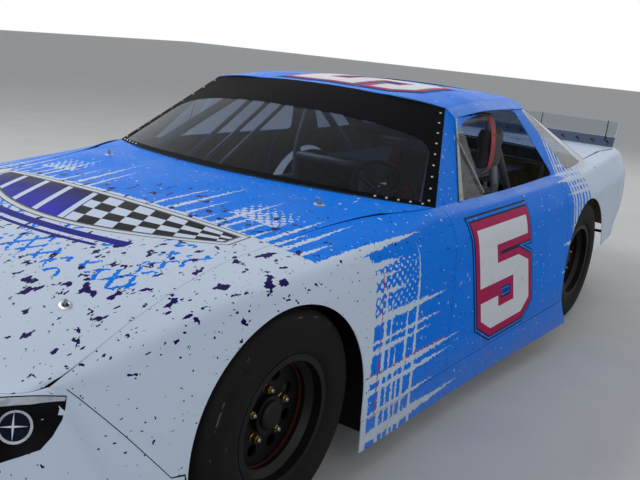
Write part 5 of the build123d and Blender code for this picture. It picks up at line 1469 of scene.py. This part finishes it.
def window_band(name, window, low):
    """The black band round a window: above a height for each place across, and its base."""
    sides = [-1, -BAND_SIDE, -BAND_SIDE + 0.001]
    us = sides + spread(-BAND_SIDE + 0.002, BAND_SIDE - 0.002, 90) + [-u for u in sides[::-1]]
    strips = [[screen_patch(window, [u], spread(low(u), 1, 24), 0.0015)[0] for u in us]]
    base = spread(-BAND_SIDE, BAND_SIDE, 60)
    strips.append(screen_patch(window, base, (0, 0.015, 0.03), 0.0015))
    band = sheet(name, strips, CABIN_MIDDLE, wall=0)
    finish_piece(band, finish("window_band_enamel"), "chassis")


def band_edge(limit, fall, corner):
    """Lower edge of a window's top band, with a rounded corner where it meets the side band."""
    def low(u):
        u = abs(u)
        if u >= BAND_SIDE:
            return 0
        share = max(0, u - BAND_SIDE + corner) / corner
        return limit - fall * u ** 4 - 1.2 * corner * (1 - math.sqrt(1 - share * share))
    return low


def rivet_heads(name, window, uvs):
    """Domed fastener heads on a window's band."""
    places = []
    for u, v in uvs:
        foot, far = (screen_patch(window, [u], [v], lift)[0][0] for lift in (0.0018, 1.0))
        places.append((foot, (far - foot).normalized()))
    radius = bpy.context.scene.stock_car_sizes.rivet_radius * 1000
    finish_piece(domes(name, places, radius), finish("zinc_plate"), "chassis")


def domes(name, places, radius):
    """Low domes with a flat flange, one for each place and direction, in one mesh."""
    shape = turned(name + "_shape", [(0, radius * 1.35), (0.8, radius * 1.3), (0.9, radius),
                                     (radius * 0.55, radius * 0.6), (radius * 0.7, 0)], 12)
    made = [copy_at(shape, f"{name}_{i}", Matrix.Translation(place) @ turn_to(way))
            for i, (place, way) in enumerate(places)]
    drop(shape)
    return join(name, made)


def make_bands():
    """Black bands and fasteners of the windshield and the rear window."""
    window_band("windshield_band", windshield_point, band_edge(*WINDSHIELD_BAND))
    window_band("rear_window_band", rear_window_point, band_edge(*REAR_WINDOW_BAND))
    sides = [(sign * 0.972, v) for sign in (-1, 1) for v in spread(0.05, 0.93, 8)]
    base = [(sign * u, 0.014) for sign in (-1, 1) for u in spread(0.76, 0.95, 4)]
    rivet_heads("windshield_fasteners", windshield_point, sides + base)
    rivet_heads("rear_window_fasteners", rear_window_point, sides + base)


def door_face(sign):
    """The door's surface for a number: u runs the way it is read, v upwards and forwards."""
    start, low, width, lean = DOOR_NUMBER

    def place(u, v):
        s = 1000 * (start + (u if sign > 0 else width - u) - lean * v)
        z = 1000 * (low + v)
        return spot(sign * side_x(s, z), s, z)
    return place


def roof_face(u, v):
    """The roof's surface for a number, read from the left."""
    x, s = 1000 * (ROOF_NUMBER[0] - v), 1000 * (ROOF_NUMBER[1] + u)
    return spot(x, s, roof_height(x, s))


def make_numbers():
    """A plain racing number in five layers of vinyl on each door and on the roof."""
    body, above = Vector((0, 0.3, 0.5)), Vector((0, 0.3, 0.2))
    height = bpy.context.scene.stock_car_sizes.number_height
    faces = (("left_door_number", DOOR_NUMBER[2], height, door_face(1), body),
             ("right_door_number", DOOR_NUMBER[2], height, door_face(-1), body),
             ("roof_number", *ROOF_NUMBER[2:], roof_face, above))
    for name, wide, high, surface, inside in faces:
        shape = [(x * wide, z * high / 1.5) for x, z in NUMBER_OUTLINE]
        for i, (grow, look) in enumerate(NUMBER_LAYERS):
            outline = grown(shape, grow) if grow else shape
            piece = decal(f"{name}_{i}", outline, surface, NUMBER_LIFT + NUMBER_STEP * i, inside)
            finish_piece(piece, finish(look), "chassis")


def place_on_nose(reach, z):
    """A place on the left of the nose cover, a distance along its outline from its edge."""
    points = cover_outline(NOSE, z)
    for a, b in zip(points, points[1:]):
        step = math.dist(a, b)
        if reach <= step:
            x, s = Vector(a).lerp(Vector(b), reach / step)
            return spot(x, s, z)
        reach -= step
    return spot(*points[-1], z)


def lamp_surface(nose):
    """The nose at the left headlight: u runs towards the middle of the car, v upwards."""
    middle = place_on_nose(*LAMP_MIDDLE)
    along = (place_on_nose(LAMP_MIDDLE[0] + 20, LAMP_MIDDLE[1]) - middle).normalized()
    up = place_on_nose(LAMP_MIDDLE[0], LAMP_MIDDLE[1] + 10) - middle
    normal = up.cross(along).normalized()
    up = along.cross(normal)

    def place(u, v):
        flat = middle + along * u + up * v
        found, hit, _, _ = nose.ray_cast(flat + normal * 0.1, -normal)
        return hit if found else flat
    return place


def make_lamp_prints():
    """Printed headlights: a dark lens with a silver brow and a round reflector."""
    surface = lamp_surface(bpy.data.objects["nose_skin"])
    parts = (("lens", LAMP_OUTLINE, "black_vinyl"), ("brow", LAMP_BROW, "silver_vinyl"),
             ("ring", circle_outline(*LAMP_ROUND, 1.0), "silver_vinyl"),
             ("bowl", circle_outline(*LAMP_ROUND, 0.84), "navy_vinyl"),
             ("glint", star_outline(*LAMP_ROUND), "white_vinyl"))
    for i, (part, outline, look) in enumerate(parts):
        left = decal(f"left_lamp_{part}", outline, surface, LAMP_LIFT + LAMP_STEP * i,
                     Vector((0, -1.8, 0.3)))
        for piece in (left, mirror_copy(left, f"right_lamp_{part}")):
            finish_piece(piece, finish(look), "chassis")


def circle_outline(u, v, radius, share):
    """A circle that is a share of a radius wide."""
    return [(u + radius * share * math.cos(t), v + radius * share * math.sin(t))
            for t in spread(0, 2 * math.pi, 32)[:-1]]


def star_outline(u, v, radius):
    """Four long thin rays."""
    points = []
    for i in range(8):
        reach = radius * (0.85 if i % 2 == 0 else 0.09)
        turn = math.pi / 4 * i
        points.append((u + radius * 0.1 + reach * math.cos(turn), v + reach * math.sin(turn)))
    return points


def wheel_places():
    """Name, body and place of each wheel, mirrored on the right."""
    for end, track, s in (("front", FRONT_TRACK, 0), ("rear", REAR_TRACK, WHEELBASE)):
        for side, sign in (("left", 1), ("right", -1)):
            matrix = Matrix.Translation(spot(sign * track / 2, s, HUB))
            matrix = matrix @ Matrix.Diagonal((sign, 1, 1, 1))
            yield f"{side}_{end}", f"wheel_{side}_{end}", matrix


def make_tyres():
    """Slick tyres: crowned tread, round shoulders, bulged sidewalls with moulded rings."""
    rows = curve_rows(TYRE_PROFILE)
    half = [flow(rows, t)[1:] for t in spread(0, rows[-1][0], 44)]
    outer = half + [(-x, r) for x, r in half[-2::-1]]
    inner = [(x * 0.88, r - 11) for x, r in outer[4:-4]][::-1]
    tyre = turned("tyre_shape", [tuple(p) for p in outer + inner], 96, close=True)
    round_uv(tyre)
    for name, body, matrix in wheel_places():
        piece = copy_at(tyre, f"{name}_slick", matrix)
        finish_piece(piece, finish("slick_rubber"), body, (f"{name}_tyre",), 50)
    drop(tyre)


def make_wheel_details():
    """Lug nuts, studs, the hub's dust cap and the painted line inside each rim."""
    select_only(next(iter(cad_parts.values())))
    nut = turned("nut_shape", NUT_PROFILE, 6)
    stud = turned("stud_shape", STUD_PROFILE, 12)
    cap = turned("cap_shape", CAP_PROFILE, 40)
    line = turned("line_shape", RIM_LINE_PROFILE, 96, close=True)
    for name, body, matrix in wheel_places():
        nuts, studs = [], []
        for i in range(NUTS):
            turn = 2 * math.pi * (i + 0.25) / NUTS
            seat = Vector((NUT_SEAT, NUT_CIRCLE * math.cos(turn), NUT_CIRCLE * math.sin(turn)))
            place = matrix @ Matrix.Translation(seat / 1000)
            nuts.append(copy_at(nut, f"{name}_nut_{i}", place))
            studs.append(copy_at(stud, f"{name}_stud_{i}", place))
        finish_piece(join(f"{name}_lug_nuts", nuts), finish("gold_zinc"), body,
                     angle=25)
        finish_piece(join(f"{name}_studs", studs), finish("zinc_plate"), body)
        finish_piece(copy_at(cap, f"{name}_hub_cap", matrix), finish("arm_powder_coat"), body,
                     angle=30)
        finish_piece(copy_at(line, f"{name}_rim_line", matrix), finish("red_enamel"), body)
    for shape in (nut, stud, cap, line):
        drop(shape)


# Faces of a slab: its corners run round the lower face, then round the upper one.
SLAB_FACES = ((3, 2, 1, 0), (4, 5, 6, 7), (0, 1, 5, 4), (1, 2, 6, 5), (2, 3, 7, 6), (3, 0, 4, 7))


def cushion(name, corners, look, share=1.0, pressure=4.0):
    """A stuffed pad: a rounded slab, remeshed and swollen as cloth. Its movement is capped at
    a share of the cushion swell."""
    cap = bpy.context.scene.stock_car_sizes.cushion_swell * share
    mesh = bpy.data.meshes.new(name)
    mesh.from_pydata([spot(*corner) for corner in corners], [], SLAB_FACES)
    obj = new_object(name, mesh)
    select_only(obj)
    bpy.ops.object.mode_set(mode="EDIT")
    bpy.ops.mesh.select_all(action="SELECT")
    bpy.ops.mesh.normals_make_consistent(inside=False)
    bpy.ops.mesh.bevel(offset=0.014, segments=4, affect="EDGES")
    bpy.ops.object.mode_set(mode="OBJECT")
    modify(obj, "REMESH", mode="VOXEL", voxel_size=0.007)
    apply_all(obj)
    start = [v.co.copy() for v in obj.data.vertices]
    cloth = modify(obj, "CLOTH")
    cloth.settings.use_pressure = True
    cloth.settings.uniform_pressure_force = pressure
    cloth.settings.effector_weights.gravity = 0
    cloth.point_cache.frame_end = 20
    for frame_number in range(1, 21):
        bpy.context.scene.frame_set(frame_number)
    apply_all(obj)
    bpy.context.scene.frame_set(1)
    for vert, was in zip(obj.data.vertices, start):
        moved = vert.co - was
        if moved.length > cap:
            vert.co = was + moved.normalized() * cap
    modify(obj, "SMOOTH", factor=0.5, iterations=4)
    modify(obj, "SUBSURF", levels=1, render_levels=1)
    apply_all(obj)
    finish_piece(obj, finish(look), "chassis", angle=60)
    return obj


def seat_back(z, back):
    """Place of the seat back's front face at a height, moved back by a depth."""
    foot_s, foot_z, rake = SEAT_BACK
    return foot_s + (z - foot_z) * rake + back


def box_corners(low, high):
    """Corners of a box, round its lower face, then round its upper one."""
    (x0, s0, z0), (x1, s1, z1) = low, high
    return [(x, s, z) for z in (z0, z1) for x, s in ((x0, s0), (x1, s0), (x1, s1), (x0, s1))]


def make_seat():
    """Seat cushion, back pad and two head pads, all stuffed."""
    back = []
    for depth in BACK_PAD_FACES:
        for x, z in ((SEAT_RIGHT, BACK_PAD_BOTTOM), (SEAT_LEFT, BACK_PAD_BOTTOM),
                     (SEAT_LEFT - BACK_PAD_TAPER, BACK_PAD_TOP),
                     (SEAT_RIGHT + BACK_PAD_TAPER, BACK_PAD_TOP)):
            back.append((x, seat_back(z, depth), z))
    seat = cushion("seat_cushion", box_corners(*CUSHION_BOX), "charcoal_cloth")
    cushion("back_pad", back, "charcoal_cloth")
    for name, box in (("left_head_pad", LEFT_HEAD_BOX), ("right_head_pad", RIGHT_HEAD_BOX)):
        cushion(name, box_corners(*box), "red_cloth", 0.5)
    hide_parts("seat_padding")


def make_net_roll():
    """The window net rolled up at the rear of the left opening, held by a red strap."""
    cushion("window_net_roll", box_corners(*NET_ROLL_BOX), "charcoal_cloth", 1.6, 7)
    path = [(600, 1912, 1146), (636, 1912, 1142), (674, 1914, 1080), (684, 1918, 980),
            (676, 1922, 890), (640, 1924, 858)]
    ribbon("net_strap", path, 50, "red_webbing", (0, 1, 0))


def ribbon(name, points, width, look, across=(1, 0, 0)):
    """A flat strap along points."""
    rows = curve_rows([tuple(p) for p in points])
    grid = []
    for t in spread(0, rows[-1][0], 40):
        middle = Vector(flow(rows, t)[1:])
        grid.append([spot(*(middle + Vector(across) * w)) for w in
                     (-width / 2, -width / 2 + 3, 0, width / 2 - 3, width / 2)])
    strap = sheet(name, [grid], Vector((SEAT_MIDDLE / 1000, 0.6, 0.5)), wall=2.5)
    return finish_piece(strap, finish(look), "chassis")


def make_belts():
    """Shoulder belts of red webbing and black lap belts with a steel latch."""
    for name, x, foot in (("left_shoulder_belt", SEAT_MIDDLE + 75, SEAT_MIDDLE + 40),
                          ("right_shoulder_belt", SEAT_MIDDLE - 75, SEAT_MIDDLE - 40)):
        path = [(x, 1975, 800), (x, 1925, 812), (x, 1880, 800), (x, 1836, 700), (x, 1815, 560),
                (foot, 1782, 440), (foot, 1700, 372)]
        ribbon(name, path, 50, "red_webbing")
    for name, sign in (("left_lap_belt", 1), ("right_lap_belt", -1)):
        path = [(SEAT_MIDDLE + sign * 170, 1790, 352), (SEAT_MIDDLE + sign * 120, 1738, 366),
                (SEAT_MIDDLE + sign * 20, 1692, 374)]
        ribbon(name, path, 48, "black_webbing", (0, 0.75, 0.66))
    latch = turned("belt_latch", LATCH_PROFILE, 36)
    place = Matrix.Translation(spot(SEAT_MIDDLE, 1690, 372)) @ turn_to((0, -0.35, 0.94))
    finish_piece(copy_at(latch, "belt_latch_body", place), finish("zinc_plate"), "chassis",
                 angle=30)
    drop(latch)


def make_tail_fasteners():
    """Bolts along the spoiler's base and the thin brace rods behind its blade."""
    low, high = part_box("spoiler_base")
    places = []
    for x in spread(-BOLT_REACH, BOLT_REACH, BOLT_STEPS):
        places.append((Vector((x, low.y - 0.0005, (low.z + high.z) / 2 + 0.004)),
                       Vector((0, -1, 0.38)).normalized()))
    finish_piece(domes("spoiler_bolts", places, 6), finish("arm_powder_coat"), "chassis")
    blade_low, blade_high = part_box("spoiler_blade")
    rods = []
    for x in ROD_PLACES:
        foot = Vector((x, low.y + 0.012, low.z))
        head = Vector((x, blade_low.y + 0.004, blade_high.z + 0.008))
        rods.append(pipe(f"spoiler_rod_{len(rods)}", [foot, foot.lerp(head, 0.5), head], 3))
    finish_piece(join("spoiler_rods", rods), finish("black_abs"), "chassis")


def dress_nodes():
    """Gives every CAD node that stays in view its finish."""
    for name, look in NODE_FINISHES.items():
        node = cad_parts[name]
        materials = node.data.materials
        for i in range(len(materials)):
            materials[i] = finish(look)
        if not materials:
            materials.append(finish(look))


def studio_paint(name):
    """Matt floor paint, a little cloudy from wear."""
    material, tree, shader = start_material(name, FLOOR_COLOUR, 0.75)
    place = add(tree, "TexCoord").outputs["Object"]
    cloud = add(tree, "TexNoise", {"Vector": place, "Scale": 3.0, "Detail": 8.0})
    colour = add(tree, "Mix", {"Factor": cloud, "A": linear("#C3C3C2"), "B": linear("#D2D2D0")},
                 data_type="RGBA")
    link_looks(tree, shader, Base_Color=colour)
    return material


def make_floor():
    """The studio's pale floor."""
    select_only(next(iter(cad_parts.values())))
    bpy.ops.mesh.primitive_plane_add(size=80)
    floor = bpy.context.object
    floor.name = "studio_floor"
    floor.data.materials.append(studio_paint("painted_studio_floor"))


def make_lamps():
    """Large soft lamps, each pointed at the car."""
    for name, place, aim, size, power in LAMPS:
        light = bpy.data.lights.new(name, "AREA")
        light.shape, light.size, light.energy = "DISK", size, power
        lamp = bpy.data.objects.new(name, light)
        bpy.context.scene.collection.objects.link(lamp)
        lamp.location = place
        lamp.rotation_euler = (Vector(aim) - Vector(place)).to_track_quat("-Z", "Y").to_euler()


def make_world():
    """A world that lights the car softly and looks white where it is seen."""
    world = bpy.data.worlds.new("pale_studio")
    bpy.context.scene.world = world
    world.use_nodes = True
    tree = world.node_tree
    background = next(n for n in tree.nodes if n.type == "BACKGROUND")
    background.inputs["Color"].default_value = linear("#DDE4EC")
    background.inputs["Strength"].default_value = WORLD_STRENGTH
    path = add(tree, "LightPath")
    seen = add(tree, "Math", {0: path.outputs["Is Camera Ray"], 1: path.outputs["Is Glossy Ray"]},
               operation="MAXIMUM")
    seen = add(tree, "Math", {0: seen, 1: path.outputs["Is Transmission Ray"]},
               operation="MAXIMUM")
    pale = add(tree, "Background", {"Color": linear("#FFFFFF"), "Strength": 1.0})
    mix = add(tree, "MixShader", {0: seen, 1: background.outputs[0], 2: pale.outputs[0]})
    output = next(n for n in tree.nodes if n.type == "OUTPUT_WORLD")
    tree.links.new(mix.outputs[0], output.inputs["Surface"])
    bpy.context.scene.view_settings.view_transform = "Standard"


def make_camera():
    """The photograph's camera."""
    camera = bpy.data.objects.new("photo_camera", bpy.data.cameras.new("photo_camera"))
    camera.data.lens, camera.data.sensor_width = CAMERA_LENS, 36
    yaw, pitch, roll = (math.radians(a) for a in (CAMERA_YAW, CAMERA_PITCH, CAMERA_ROLL))
    ahead = Vector((math.sin(yaw) * math.cos(pitch), math.cos(yaw) * math.cos(pitch),
                    math.sin(pitch)))
    level = Vector((math.cos(yaw), -math.sin(yaw), 0))
    high = level.cross(ahead)
    right = level * math.cos(roll) + high * math.sin(roll)
    up = high * math.cos(roll) - level * math.sin(roll)
    turn = Matrix((right, up, -ahead)).transposed().to_4x4()
    camera.matrix_world = Matrix.Translation(CAMERA_PLACE) @ turn
    bpy.context.scene.collection.objects.link(camera)
    bpy.context.scene.camera = camera


class StockCarSizes(bpy.types.PropertyGroup):
    """Sizes of the looks. The car's own sizes come from the frame and the tables above."""

    panel_wall: bpy.props.FloatProperty(
        name="Panel wall", description="Thickness of the body's composite skins",
        default=0.003, min=0.001, max=0.006, unit="LENGTH")
    number_height: bpy.props.FloatProperty(
        name="Number height", description="Height of the racing number on the doors",
        default=0.46, min=0.3, max=0.5, unit="LENGTH")
    rivet_radius: bpy.props.FloatProperty(
        name="Fastener radius", description="Radius of the window fasteners' domes",
        default=0.0038, min=0.003, max=0.008, unit="LENGTH")
    cushion_swell: bpy.props.FloatProperty(
        name="Cushion swell", description="The most that a seat pad may swell",
        default=0.012, min=0.004, max=0.02, unit="LENGTH")


class StockCarColours(bpy.types.PropertyGroup):
    """Colours of the livery."""

    main_blue: bpy.props.FloatVectorProperty(
        name="Blue", description="Main colour of the wrap", subtype="COLOR", size=4,
        min=0, max=1, default=linear(BLUE))
    # Its default carries a blue tint, which is painted sky light on white vinyl.
    sky_tinted_stroke_white: bpy.props.FloatVectorProperty(
        name="White", description="Brush strokes and both ends of the car", subtype="COLOR",
        size=4, min=0, max=1, default=linear(SKY_TINTED_WHITE))
    splatter: bpy.props.FloatVectorProperty(
        name="Splatter", description="Dark drops over the wrap", subtype="COLOR", size=4,
        min=0, max=1, default=linear(PURPLE))


class STOCKCAR_OT_stage(bpy.types.Operator):
    """Set up the camera, the floor, the lamps and the world"""

    bl_idname = "stockcar.stage"
    bl_label = "Studio stage"

    def execute(self, context):
        make_floor()
        make_lamps()
        make_world()
        make_camera()
        return {"FINISHED"}


class STOCKCAR_OT_node_finishes(bpy.types.Operator):
    """Give the chassis, cage and running gear their finishes"""

    bl_idname = "stockcar.node_finishes"
    bl_label = "Chassis finishes"

    def execute(self, context):
        dress_nodes()
        return {"FINISHED"}


class STOCKCAR_OT_nose(bpy.types.Operator):
    """Make the nose cover's skin and the grille wire"""

    bl_idname = "stockcar.nose"
    bl_label = "Nose"

    def execute(self, context):
        make_nose()
        return {"FINISHED"}


class STOCKCAR_OT_hood(bpy.types.Operator):
    """Make the hood's skin with its pin holes and plates"""

    bl_idname = "stockcar.hood"
    bl_label = "Hood"

    def execute(self, context):
        make_hood()
        return {"FINISHED"}


class STOCKCAR_OT_sides(bpy.types.Operator):
    """Make the fenders, doors, quarter panels and rocker skirts"""

    bl_idname = "stockcar.sides"
    bl_label = "Sides"

    def execute(self, context):
        side_skins("fender", fender_patches(), "fender")
        # The black liners are inner panels and also painted shade inside the front arches.
        make_wheel_well_shade_liners()
        side_skins("door", door_patches(), "door")
        side_skins("quarter", quarter_patches(), "quarter_panel")
        make_rockers()
        make_seam_rivets()
        return {"FINISHED"}


class STOCKCAR_OT_tail(bpy.types.Operator):
    """Make the rear cover's skin and the spoiler's bolts"""

    bl_idname = "stockcar.tail"
    bl_label = "Tail"

    def execute(self, context):
        make_tail()
        make_tail_fasteners()
        return {"FINISHED"}


class STOCKCAR_OT_roof(bpy.types.Operator):
    """Make the roof's skin and the window posts"""

    bl_idname = "stockcar.roof"
    bl_label = "Roof and posts"

    def execute(self, context):
        make_roof()
        make_posts()
        return {"FINISHED"}


class STOCKCAR_OT_windows(bpy.types.Operator):
    """Make the clear windows, their black bands and fasteners"""

    bl_idname = "stockcar.windows"
    bl_label = "Windows"

    def execute(self, context):
        make_windows()
        make_bands()
        return {"FINISHED"}


class STOCKCAR_OT_prints(bpy.types.Operator):
    """Lay the racing numbers and the printed headlights on the body"""

    bl_idname = "stockcar.prints"
    bl_label = "Numbers and lamp prints"

    def execute(self, context):
        make_numbers()
        make_lamp_prints()
        return {"FINISHED"}


class STOCKCAR_OT_wheels(bpy.types.Operator):
    """Make the slick tyres and the wheels' nuts, studs and caps"""

    bl_idname = "stockcar.wheels"
    bl_label = "Tyres and wheel details"

    def execute(self, context):
        make_tyres()
        make_wheel_details()
        return {"FINISHED"}


class STOCKCAR_OT_seat(bpy.types.Operator):
    """Make the stuffed seat pads and the belts"""

    bl_idname = "stockcar.seat"
    bl_label = "Seat and belts"

    def execute(self, context):
        make_seat()
        make_net_roll()
        make_belts()
        return {"FINISHED"}


class STOCKCAR_PT_looks(bpy.types.Panel):
    """Lists the settings and the pieces of the car's looks"""

    bl_idname = "STOCKCAR_PT_looks"
    bl_label = "Stock car"
    bl_space_type = "VIEW_3D"
    bl_region_type = "UI"
    bl_category = "Stock car"

    def draw(self, context):
        for group in (context.scene.stock_car_sizes, context.scene.stock_car_colours):
            for name in type(group).__annotations__:
                self.layout.prop(group, name)
        for operator in PIECES:
            self.layout.operator(operator.bl_idname)


PIECES = (STOCKCAR_OT_stage, STOCKCAR_OT_node_finishes, STOCKCAR_OT_nose, STOCKCAR_OT_hood,
          STOCKCAR_OT_sides, STOCKCAR_OT_tail, STOCKCAR_OT_roof, STOCKCAR_OT_windows,
          STOCKCAR_OT_prints, STOCKCAR_OT_wheels, STOCKCAR_OT_seat)
CLASSES = (StockCarSizes, StockCarColours, *PIECES, STOCKCAR_PT_looks)


def register():
    for cls in CLASSES:
        bpy.utils.register_class(cls)
    bpy.types.Scene.stock_car_sizes = bpy.props.PointerProperty(type=StockCarSizes)
    bpy.types.Scene.stock_car_colours = bpy.props.PointerProperty(type=StockCarColours)


def unregister():
    del bpy.types.Scene.stock_car_colours
    del bpy.types.Scene.stock_car_sizes
    for cls in reversed(CLASSES):
        bpy.utils.unregister_class(cls)


def main():
    register()
    for operator in PIECES:
        group, name = operator.bl_idname.split(".")
        result = getattr(getattr(bpy.ops, group), name)()
        if result != {"FINISHED"}:
            raise RuntimeError(f"{operator.bl_idname} did not finish")


if __name__ == "__main__":
    main()
